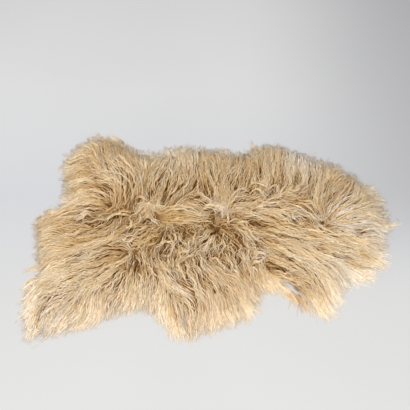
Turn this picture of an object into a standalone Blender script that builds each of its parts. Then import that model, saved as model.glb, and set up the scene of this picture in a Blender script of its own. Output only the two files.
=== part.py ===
"""Long-wool lambskin laid flat: a thin tanned skin, and the fleece that grows on it and falls past its edge.

Metres, +Z up. The wool side faces up, and everything rests on z = 0.
+X runs along the back from the rump to the neck, and +Y to the far flank.
The fleece is one lumpy slab, ridged by its locks, and each ridge ends at the rim in a tapering lock that
lies level on the floor. The origin is the middle of the lambskin's box, on the floor.
"""

import math
import random

import bmesh
import bpy
from mathutils import Vector, noise

MM = 0.001

# The skin
SKIN_THICK = 0.0020
WOOL_OVERHANG = 0.058  # how far the wool reaches past the skin's edge
SKIN_TOP_GAP = 0.0003  # between the skin's top and the fleece over it
SKIN_EDGE_GAP = 0.0015  # between the skin's edge and the fleece round it

# The fleece's slab
RIM_LOCKS = 108
RINGS = 13  # loops of points from the backbone to the slab's edge
SLAB_CREST = 0.054  # the pile's height along the backbone
SLAB_EDGE = 0.018  # the pile's height where the rim locks start
SLAB_LOWEST = 0.010
BACKBONE_HALF = (0.245, 0.005)  # the innermost loop is an ellipse: half its length and half its width
BACKBONE_MIDDLE = Vector((0.005, 0.010))
BACKBONE_SWAY = 0.012  # how far the backbone swings to either side of its middle line
BACKBONE_SWAY_LENGTH = 0.300
RIDGE_RISE = 0.60  # a lock's ridge over the grooves beside it, as a share of the step between the two
RIDGE_LIMIT = 0.0085
RIDGES_START = 0.3  # the share of the way to the edge where the ridges reach their full height
SHINGLE_STEP = 0.0070  # one lock's end over the next lock's start
SHINGLE_LENGTH = 0.085
LUMP_HEIGHT = 0.0085
LUMP_LENGTH = 0.070
WAVE_LENGTH = 0.080
WAVE_SWING = 0.0045  # a ridge's sideways wave
WAVE_START_SPREAD = 8.0  # radians either way, before neighbours are smoothed together

# The locks at the rim
LOCK_REACH = 0.045  # how far a rim lock stands out of the slab
TIP_STRAYS = (-0.006, 0.015)  # how far short of the rim or past it a lock's tip ends
TIP_SLANT = 0.006  # how far a tip strays along the rim, either way
LOCK_SWING = 0.0100  # a rim lock's widest sideways bend, before neighbours are smoothed together
MERGE_DISTANCE = 0.00001
SEED = 11

# How many times a loop's values are smoothed
DIRECTION_ROUNDS = 60
SKIN_ROUNDS = 16
SLAB_EDGE_ROUNDS = 8
BACKBONE_ROUNDS = 20
WAVE_ROUNDS = 40
SWING_ROUNDS = 2

# Where the wool ends, in millimetres from the origin, clockwise seen from above
RIM_COLUMNS = ("where", "along", "across")
RIM_TABLE = (
    ("tail notch", -390, 74),
    ("far hind leg", -413, 135),
    ("far hind leg", -417, 195),
    ("far hind leg", -410, 250),
    ("far hind leg", -370, 295),
    ("far hind toe", -315, 327),
    ("far hind leg", -267, 308),
    ("far flank notch", -183, 245),
    ("far flank", -125, 264),
    ("far flank", -50, 276),
    ("far flank", 15, 268),
    ("far elbow notch", 83, 247),
    ("far foreleg", 125, 280),
    ("far fore toe", 171, 297),
    ("far foreleg", 220, 281),
    ("far shoulder", 283, 248),
    ("far shoulder", 351, 207),
    ("neck", 410, 166),
    ("neck", 450, 128),
    ("neck", 470, 78),
    ("neck end", 476, 25),
    ("neck", 469, -30),
    ("neck", 445, -92),
    ("near shoulder", 420, -130),
    ("near shoulder", 365, -152),
    ("near foreleg", 325, -195),
    ("near foreleg", 285, -244),
    ("near fore toe", 253, -262),
    ("near foreleg", 227, -235),
    ("near elbow notch", 180, -188),
    ("near elbow notch", 145, -180),
    ("near flank", 113, -215),
    ("near flank", 73, -266),
    ("near flank", 15, -282),
    ("belly tuft", -45, -326),
    ("belly tuft", -75, -318),
    ("near flank", -115, -265),
    ("near flank", -165, -240),
    ("near hind leg", -230, -253),
    ("near hind leg", -315, -288),
    ("near hind leg", -380, -310),
    ("near hind toe", -440, -327),
    ("near hind leg", -460, -270),
    ("near hind leg", -468, -205),
    ("near hind leg", -448, -145),
    ("rump", -460, -80),
    ("rump", -475, -10),
    ("rump", -445, 52),
)

# Partings and hollows where the pile is pressed apart, and mounds and tufts of it, all in millimetres
RELIEF_COLUMNS = ("what", "along", "across", "radius", "rise")
RELIEF_TABLE = (
    ("parting of the far hind leg", -257, 41, 40, -18),
    ("parting of the near hind leg", -210, -90, 38, -15),
    ("hollow behind the shoulder", 15, -16, 30, -18),
    ("hollow over the near flank", 122, -146, 30, -15),
    ("parting of the neck", 287, 5, 38, -16),
    ("hollow on the far flank", 5, 65, 30, -9),
    ("swept lock along the back", -80, 22, 52, 9),
    ("tuft behind the shoulder", 60, 32, 40, 9),
    ("tuft over the near flank", 95, -110, 30, 8),
    ("mound of the rump", -335, -10, 75, 6),
    ("mound of the near flank", -65, -140, 90, 6),
    ("mound of the shoulder", 185, 60, 85, 7),
)

# A rim lock's cross-sections, as shares of its length, of its root's half width and of its root's height
LOCK_COLUMNS = ("out", "width", "height")
LOCK_TABLE = (
    (0.26, 0.80, 0.74),
    (0.54, 0.56, 0.50),
    (0.80, 0.28, 0.27),
)


def rows_of(columns, table):
    """Each row of a table, as a dictionary under its column names."""
    return [dict(zip(columns, row)) for row in table]


def clear_scene():
    """Removes whatever the scene holds."""
    for obj in list(bpy.data.objects):
        bpy.data.objects.remove(obj)


def make_material(name, colour, roughness):
    """A plain Principled material in one linear colour."""
    material = bpy.data.materials.new(name)
    material.use_nodes = True
    shader = material.node_tree.nodes["Principled BSDF"]
    shader.inputs["Base Color"].default_value = (*colour, 1.0)
    shader.inputs["Roughness"].default_value = roughness
    shader.inputs["Metallic"].default_value = 0.0
    material.diffuse_color = (*colour, 1.0)
    return material


def wool_material():
    """Undyed wool: golden beige and quite matt."""
    return make_material("Undyed wool", (0.60, 0.44, 0.25), 0.85)


def leather_material():
    """The tanned skin: pale cream suede."""
    return make_material("Tanned suede", (0.68, 0.57, 0.42), 0.90)


def curve_point(a, b, c, d, share):
    """A point between b and c on the smooth curve through a, b, c and d."""
    return 0.5 * (
        2 * b
        + (c - a) * share
        + (2 * a - 5 * b + 4 * c - d) * share**2
        + (3 * b - a - 3 * c + d) * share**3
    )


def evenly_spaced(points, count):
    """count points at even steps along the closed line through the given points."""
    along = [0.0]
    for a, b in zip(points, points[1:] + points[:1]):
        along.append(along[-1] + (b - a).length)
    loop = []
    k = 0
    for i in range(count):
        target = along[-1] * i / count
        while along[k + 1] < target:
            k += 1
        share = (target - along[k]) / (along[k + 1] - along[k])
        loop.append(points[k].lerp(points[(k + 1) % len(points)], share))
    return loop


def wool_rim():
    """The line where the wool ends: a groove point and a ridge point for each rim lock, in turn."""
    corners = [Vector((row["along"], row["across"])) * MM for row in rows_of(RIM_COLUMNS, RIM_TABLE)]
    steps = 12
    fine = []
    for i in range(len(corners)):
        a, b, c, d = (corners[(i + k) % len(corners)] for k in (-1, 0, 1, 2))
        fine += [curve_point(a, b, c, d, step / steps) for step in range(steps)]
    return evenly_spaced(fine, 2 * RIM_LOCKS)


def smoothed(values, rounds):
    """A closed run of values, each drawn halfway to the mean of its neighbours, a few times over."""
    for _ in range(rounds):
        values = [
            values[i] * 0.5 + (values[i - 1] + values[(i + 1) % len(values)]) * 0.25
            for i in range(len(values))
        ]
    return values


def outward_normals(loop):
    """The outward direction at each point of a clockwise loop."""
    normals = []
    for i in range(len(loop)):
        run = loop[(i + 1) % len(loop)] - loop[i - 1]
        normals.append(Vector((-run.y, run.x)).normalized())
    return normals


def drawn_in(loop, distance, rounds):
    """The loop moved inwards by a distance, along smoothed directions so that no two points meet."""
    inwards = [-normal.normalized() for normal in smoothed(outward_normals(loop), DIRECTION_ROUNDS)]
    return smoothed([point + inward * distance for point, inward in zip(loop, inwards)], rounds)


def backbone_place(turn):
    """The place on the thin ellipse along the backbone at a turn from +X."""
    half_x, half_y = BACKBONE_HALF
    x = half_x * math.cos(turn)
    sway = BACKBONE_SWAY * math.sin(x / BACKBONE_SWAY_LENGTH * math.tau)
    return BACKBONE_MIDDLE + Vector((x, half_y * math.sin(turn) + sway))


def backbone_loop(edge):
    """The loop round the backbone that the ridges grow away from, with a point for each edge point."""
    reach_x = max(abs(point.x) for point in edge)
    reach_y = max(abs(point.y) for point in edge)
    turns = []
    for point in edge:
        away = point - BACKBONE_MIDDLE
        turns.append(math.atan2(away.y / reach_y, away.x / reach_x))
    steps = [(turns[i] - turns[(i + 1) % len(turns)]) % math.tau for i in range(len(turns))]
    steps = smoothed([step if step < math.pi else 0.0 for step in steps], BACKBONE_ROUNDS)
    loop = []
    turn = turns[0]
    for step in steps:
        loop.append(backbone_place(turn))
        turn -= step * math.tau / sum(steps)
    return loop


def relief(place):
    """How far the pile stands over or under its even height at a place."""
    rise = LUMP_HEIGHT * noise.noise(Vector((*place, 0.0)) / LUMP_LENGTH)
    for row in rows_of(RELIEF_COLUMNS, RELIEF_TABLE):
        away = (place - Vector((row["along"], row["across"])) * MM).length
        rise += row["rise"] * MM * math.exp(-((away / (row["radius"] * MM)) ** 2))
    return rise


def pile_height(place, share, travel, phase):
    """The pile's even height, a share of the way to the slab's edge and some metres out from the backbone."""
    dome = SLAB_EDGE + (SLAB_CREST - SLAB_EDGE) * (1.0 - share**3) ** 0.7
    shingle = SHINGLE_STEP * (1.0 - share) * ((travel / SHINGLE_LENGTH + phase) % 1.0 - 0.5)
    return dome + shingle + relief(place) * (1.0 - 0.7 * share**4)


def slab_ring(backbone, edge, share, wave_starts, phases):
    """One loop of places on the slab's top, with every second one raised as a lock's ridge."""
    flat = []
    for i, (start, end) in enumerate(zip(backbone, edge)):
        outward = (end - start).normalized()
        travel = (end - start).length * share
        wave = math.sin(travel / WAVE_LENGTH * math.tau + wave_starts[i]) * math.sin(math.pi * share)
        place = start.lerp(end, share) + Vector((-outward.y, outward.x)) * WAVE_SWING * wave
        flat.append((place, travel))
    ring = []
    for i, (place, travel) in enumerate(flat):
        step = (flat[(i + 1) % len(flat)][0] - flat[i - 1][0]).length / 2
        ridge = min(RIDGE_RISE * step, RIDGE_LIMIT) * min(1.0, share / RIDGES_START)
        height = pile_height(place, share, travel, phases[i // 2]) + ridge * (0.5 if i % 2 else -0.5)
        ring.append(Vector((*place, max(height, SLAB_LOWEST))))
    return ring


def slab_rings(edge, rng):
    """The places of the slab's top, loop by loop from the backbone to its edge."""
    backbone = backbone_loop(edge)
    phases = [rng.random() for _ in range(RIM_LOCKS)]
    wave_starts = smoothed([rng.uniform(-WAVE_START_SPREAD, WAVE_START_SPREAD) for _ in edge], WAVE_ROUNDS)
    return [slab_ring(backbone, edge, k / RINGS, wave_starts, phases) for k in range(RINGS + 1)]


def next_loop(bm, loop, places):
    """Extrudes a closed loop of points to new places, one for each point."""
    edges = [bm.edges.get((a, b)) for a, b in zip(loop, loop[1:] + loop[:1])]
    made = bmesh.ops.extrude_edge_only(bm, edges=edges)["geom"]
    fresh = {item for item in made if isinstance(item, bmesh.types.BMVert)}
    moved = []
    for point, place in zip(loop, places):
        new = next(edge.other_vert(point) for edge in point.link_edges if edge.other_vert(point) in fresh)
        new.co = place
        moved.append(new)
    return moved


def fill(bm, loop):
    """Closes a loop of points with one face."""
    edges = [bm.edges.get((a, b)) for a, b in zip(loop, loop[1:] + loop[:1])]
    bmesh.ops.contextual_create(bm, geom=edges)


def slab_top(bm, rings):
    """Models the slab's top from its rings, and returns its outer loop."""
    loop = bmesh.ops.create_circle(bm, segments=len(rings[0]), radius=1.0)["verts"]
    for point, place in zip(loop, rings[0]):
        point.co = place
    fill(bm, loop)
    for places in rings[1:]:
        loop = next_loop(bm, loop, places)
    return loop


def slab_wall(bm, top_loop):
    """Drops the slab's edge to the floor, with one wall face under each ridge; returns its faces and feet."""
    foot_loop = next_loop(bm, top_loop, [Vector((point.co.x, point.co.y, 0.0)) for point in top_loop])
    ridge_drops = [bm.edges.get(pair) for pair in zip(top_loop[1::2], foot_loop[1::2])]
    bmesh.ops.dissolve_edges(bm, edges=ridge_drops, use_verts=False)
    bmesh.ops.dissolve_verts(bm, verts=foot_loop[1::2])
    feet = foot_loop[0::2]
    faces = [bm.edges.get((a, b)).link_faces[0] for a, b in zip(feet, feet[1:] + feet[:1])]
    return faces, feet


def slab_underside(bm, feet, skin):
    """The floor-level band round the skin, and the shallow pocket over it."""
    pocket = [point + normal * SKIN_EDGE_GAP for point, normal in zip(skin, outward_normals(skin))]
    ceiling = SKIN_THICK + SKIN_TOP_GAP
    loop = next_loop(bm, feet, [Vector((*point, 0.0)) for point in pocket])
    loop = next_loop(bm, loop, [Vector((*point, ceiling)) for point in pocket])
    fill(bm, loop)


def grow_rim_lock(bm, face, tip, swing):
    """Draws one wall face out into a lock with a flat underside and a ridge, which ends in a point."""
    feet = [vertex.co.xy for vertex in face.verts if vertex.co.z == 0.0]
    root = (feet[0] + feet[1]) / 2
    across = (feet[1] - feet[0]) / 2
    height = max(vertex.co.z for vertex in face.verts)
    outward = tip - root
    sideways = Vector((-outward.y, outward.x)).normalized()
    centre = root
    half_width = 1.0
    for section in rows_of(LOCK_COLUMNS, LOCK_TABLE):
        face = bmesh.ops.extrude_discrete_faces(bm, faces=[face])["faces"][0]
        wave = sideways * swing * math.sin(math.pi * section["out"])
        next_centre = root + outward * section["out"] + wave
        for vertex in face.verts:
            side = (vertex.co.xy - centre).dot(across) / (across.length_squared * half_width)
            is_ridge = abs(side) < 0.5
            place = next_centre + across * section["width"] * (0 if is_ridge else math.copysign(1, side))
            vertex.co = (*place, height * section["height"] if is_ridge else 0.0)
        centre = next_centre
        half_width = section["width"]
    bmesh.ops.pointmerge(bm, verts=face.verts, merge_co=(*tip, 0.0))


def skin_outline(rim):
    """The skin's cut edge, a point for each rim lock."""
    return drawn_in(rim, WOOL_OVERHANG, SKIN_ROUNDS)[0::2]


def build_skin(outline, material):
    """The tanned skin: a flat outline drawn as a filled 2D curve and given its thickness."""
    curve = bpy.data.curves.new("hide", "CURVE")
    curve.dimensions = "2D"
    curve.fill_mode = "BOTH"
    curve.extrude = SKIN_THICK / 2
    spline = curve.splines.new("POLY")
    spline.points.add(len(outline) - 1)
    for corner, place in zip(spline.points, outline):
        corner.co = (*place, 0.0, 1.0)
    spline.use_cyclic_u = True
    skin = bpy.data.objects.new("hide", curve)
    skin.location.z = SKIN_THICK / 2
    curve.materials.append(material)
    return skin


def build_fleece(rim, outline, material):
    """The fleece: a lumpy slab, ridged by its locks, with a tapering lock at the end of each ridge."""
    rng = random.Random(SEED)
    edge = drawn_in(rim, LOCK_REACH, SLAB_EDGE_ROUNDS)
    swings = smoothed([rng.uniform(-LOCK_SWING, LOCK_SWING) for _ in range(RIM_LOCKS)], SWING_ROUNDS)
    bm = bmesh.new()
    top_loop = slab_top(bm, slab_rings(edge, rng))
    faces, feet = slab_wall(bm, top_loop)
    slab_underside(bm, feet, outline)
    normals = outward_normals(rim)
    for i, face in enumerate(faces):
        outward = normals[2 * i + 1]
        along = Vector((outward.y, -outward.x))
        tip = rim[2 * i + 1] + outward * rng.uniform(*TIP_STRAYS) + along * rng.uniform(-TIP_SLANT, TIP_SLANT)
        grow_rim_lock(bm, face, tip, swings[i])
    bmesh.ops.remove_doubles(bm, verts=bm.verts, dist=MERGE_DISTANCE)
    bmesh.ops.recalc_face_normals(bm, faces=bm.faces)
    mesh = bpy.data.meshes.new("fleece")
    bm.to_mesh(mesh)
    bm.free()
    mesh.materials.append(material)
    return bpy.data.objects.new("fleece", mesh)


def centre_over_origin(objects, wide):
    """Moves the objects so that the widest one's box stands over the origin."""
    corners = [vertex.co for vertex in wide.data.vertices]
    for axis in (0, 1):
        places = [corner[axis] for corner in corners]
        middle = (min(places) + max(places)) / 2
        for obj in objects:
            obj.location[axis] -= middle


def main():
    clear_scene()
    collection = bpy.data.collections.new("lambskin")
    bpy.context.scene.collection.children.link(collection)
    rim = wool_rim()
    outline = skin_outline(rim)
    skin = build_skin(outline, leather_material())
    fleece = build_fleece(rim, outline, wool_material())
    for obj in (skin, fleece):
        collection.objects.link(obj)
    centre_over_origin((skin, fleece), fleece)


main()
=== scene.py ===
"""A long-wool lambskin laid flat on a pale studio floor.

The pelt is its tanned skin, a matted underwool, combed and tangled locks of long wavy strands, a few locks
laid one by one, a fringe round the rim, and thin wisps and loose strands over it all. The tables are in
millimetres along +X and across +Y, and everything else is in metres.
"""

import math

import bmesh
import bpy
import numpy as np
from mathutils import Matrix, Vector
from mathutils.bvhtree import BVHTree
from mathutils.kdtree import KDTree


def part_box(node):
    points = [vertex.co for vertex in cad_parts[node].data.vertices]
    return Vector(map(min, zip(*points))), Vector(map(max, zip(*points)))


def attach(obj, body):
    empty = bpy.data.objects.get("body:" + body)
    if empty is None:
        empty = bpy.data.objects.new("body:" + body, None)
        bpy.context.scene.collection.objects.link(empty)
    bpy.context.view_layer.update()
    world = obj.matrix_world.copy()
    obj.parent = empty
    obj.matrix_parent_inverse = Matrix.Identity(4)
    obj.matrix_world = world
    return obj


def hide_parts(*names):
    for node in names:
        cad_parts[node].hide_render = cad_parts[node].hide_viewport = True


bl_info = {
    "name": "Lambskin",
    "version": (1, 0, 0),
    "blender": (4, 5, 0),
    "location": "3D View > Sidebar > Lambskin",
    "description": "Builds a long-wool lambskin: skin, underwool, locks, fringe and a studio floor",
    "category": "Object",
}

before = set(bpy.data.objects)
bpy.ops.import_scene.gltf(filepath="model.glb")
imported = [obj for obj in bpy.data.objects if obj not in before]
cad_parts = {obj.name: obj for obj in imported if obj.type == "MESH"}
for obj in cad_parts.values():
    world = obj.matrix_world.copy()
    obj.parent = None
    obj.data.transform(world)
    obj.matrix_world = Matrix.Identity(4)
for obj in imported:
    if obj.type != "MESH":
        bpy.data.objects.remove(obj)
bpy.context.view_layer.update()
MM = 0.001
UV_MAP = "OFBake"
SEED = 4

# How the wool lies, as it was combed: a place, and the heading there in degrees from +X
COMB_COLUMNS = ("where", "along", "across", "heading")
COMB_TABLE = (
    ("far hind leg", -365, 235, 145),
    ("far hind leg", -315, 280, 112),
    ("far hind leg", -265, 235, 100),
    ("far hind leg", -395, 175, 165),
    ("far hind leg", -355, 115, 180),
    ("far hind leg", -335, 60, 182),
    ("far hind leg", -240, 135, 98),
    ("far hind leg", -225, 170, 92),
    ("rump", -410, 15, 178),
    ("rump", -405, -50, 182),
    ("rump", -340, -30, 182),
    ("rump", -375, -115, 189),
    ("rump", -315, -115, 194),
    ("near hind leg", -390, -160, 201),
    ("near hind leg", -410, -240, 227),
    ("near hind leg", -430, -310, 240),
    ("near hind leg", -345, -255, 235),
    ("near hind leg", -290, -230, 247),
    ("near hind leg", -260, -175, 242),
    ("near hind leg", -235, -125, 228),
    ("near flank", -185, -185, 260),
    ("near flank", -135, -215, 269),
    ("belly tuft", -100, -275, 277),
    ("belly tuft", -60, -310, 282),
    ("near flank", -40, -230, 285),
    ("near flank", 20, -240, 293),
    ("near flank", 70, -230, 302),
    ("near flank", 105, -185, 313),
    ("near foreleg", 180, -165, 306),
    ("near foreleg", 235, -215, 296),
    ("near foreleg", 245, -250, 283),
    ("near foreleg", 305, -180, 309),
    ("near shoulder", 310, -115, 324),
    ("near shoulder", 375, -125, 332),
    ("neck", 410, -80, 348),
    ("near shoulder", 250, -100, 320),
    ("near shoulder", 185, -65, 325),
    ("neck", 385, -30, 358),
    ("neck", 325, 0, 2),
    ("neck", 430, 45, 25),
    ("neck", 405, 100, 44),
    ("far shoulder", 365, 135, 55),
    ("far shoulder", 315, 170, 70),
    ("far shoulder", 260, 185, 83),
    ("far foreleg", 170, 215, 93),
    ("far foreleg", 125, 205, 86),
    ("far flank", 60, 185, 85),
    ("far flank", -10, 205, 93),
    ("far flank", -80, 195, 96),
    ("far flank", -135, 175, 79),
    ("far flank", -175, 135, 76),
    ("swept lock", -125, 50, 355),
    ("swept lock", -60, 35, 353),
    ("behind the shoulder", 20, -70, 271),
    ("behind the shoulder", 55, -70, 288),
    ("behind the shoulder", -25, -40, 233),
    ("shoulder", 110, 45, 10),
    ("shoulder", 185, 25, 350),
    ("shoulder", 235, 25, 355),
    ("back", -105, -70, 241),
    ("back", -160, -30, 235),
    ("back", -200, 0, 221),
    ("near flank", 55, -135, 296),
    ("near flank", -75, -135, 278),
    ("near flank", -10, -155, 288),
    ("shoulder", 125, -40, 312),
    ("far flank", -60, 105, 83),
    ("far flank", 30, 95, 87),
    ("far foreleg", 140, 105, 82),
    ("far foreleg", 205, 105, 75),
)

# Where the pile opens down to its roots and the wool leans away on all sides
PARTING_COLUMNS = ("where", "along", "across", "radius", "strength")
PARTING_TABLE = (
    ("far hind whorl", -262, 46, 46, 2.6),
    ("near hind whorl", -210, -92, 38, 2.2),
    ("crown behind the shoulder", 10, -25, 40, 3.2),
    ("pocket over the near flank", 129, -123, 22, 1.6),
    ("neck parting", 280, 3, 34, 2.4),
)

# Small dark pockets where the locks stand apart and the underwool shows
POCKET_COLUMNS = ("where", "along", "across", "radius")
POCKET_TABLE = (
    ("tuft's middle", 10, -27, 9),
    ("tuft's middle", 2, -12, 6),
    ("far hind whorl", -264, 50, 6),
    ("far hind whorl", -275, 32, 5),
    ("far hind whorl", -249, 68, 4),
    ("near hind whorl", -213, -90, 5),
    ("above the swept lock", -120, 39, 5),
    ("above the swept lock", -82, 58, 6),
    ("under the swept lock", -111, -18, 5),
    ("under the swept lock", -83, -26, 5),
    ("back", -158, -99, 6),
    ("back", -52, -76, 5),
    ("back", -121, -81, 4),
    ("near flank", 53, -108, 6),
    ("near flank", 126, -132, 8),
    ("near flank", 144, -116, 5),
    ("far flank", 0, 75, 6),
    ("shoulder ridge", 78, 60, 6),
    ("shoulder ridge", 147, 68, 7),
    ("shoulder", 119, 15, 4),
    ("behind the tuft", 73, -5, 5),
    ("neck parting", 277, 0, 5),
)

# Kinds of lock laid one by one, with curl and shade from 0 to 1
STYLE_COLUMNS = ("style", "half_width", "strands", "lift", "curl", "tint", "shade")
STYLE_TABLE = (
    ("smooth", 4.5, 7, 5, 0.05, "cream", 0.95),
    ("sheaf", 5.5, 10, 6, 0.05, "cream", 0.92),
    ("golden sheaf", 5.5, 10, 6, 0.05, "golden", 0.95),
    ("strand", 3.0, 5, 6, 0.15, "cream", 0.95),
    ("golden", 3.4, 5, 5, 0.15, "golden", 0.92),
    ("pale", 8.0, 16, 7, 0.45, "peach", 1.0),
    ("pale strand", 4.0, 7, 7, 0.25, "peach", 1.0),
    ("loop", 2.8, 5, 6, 0.35, "cream", 0.95),
    ("brown", 4.5, 7, 4, 0.40, "golden", 0.35),
)
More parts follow.
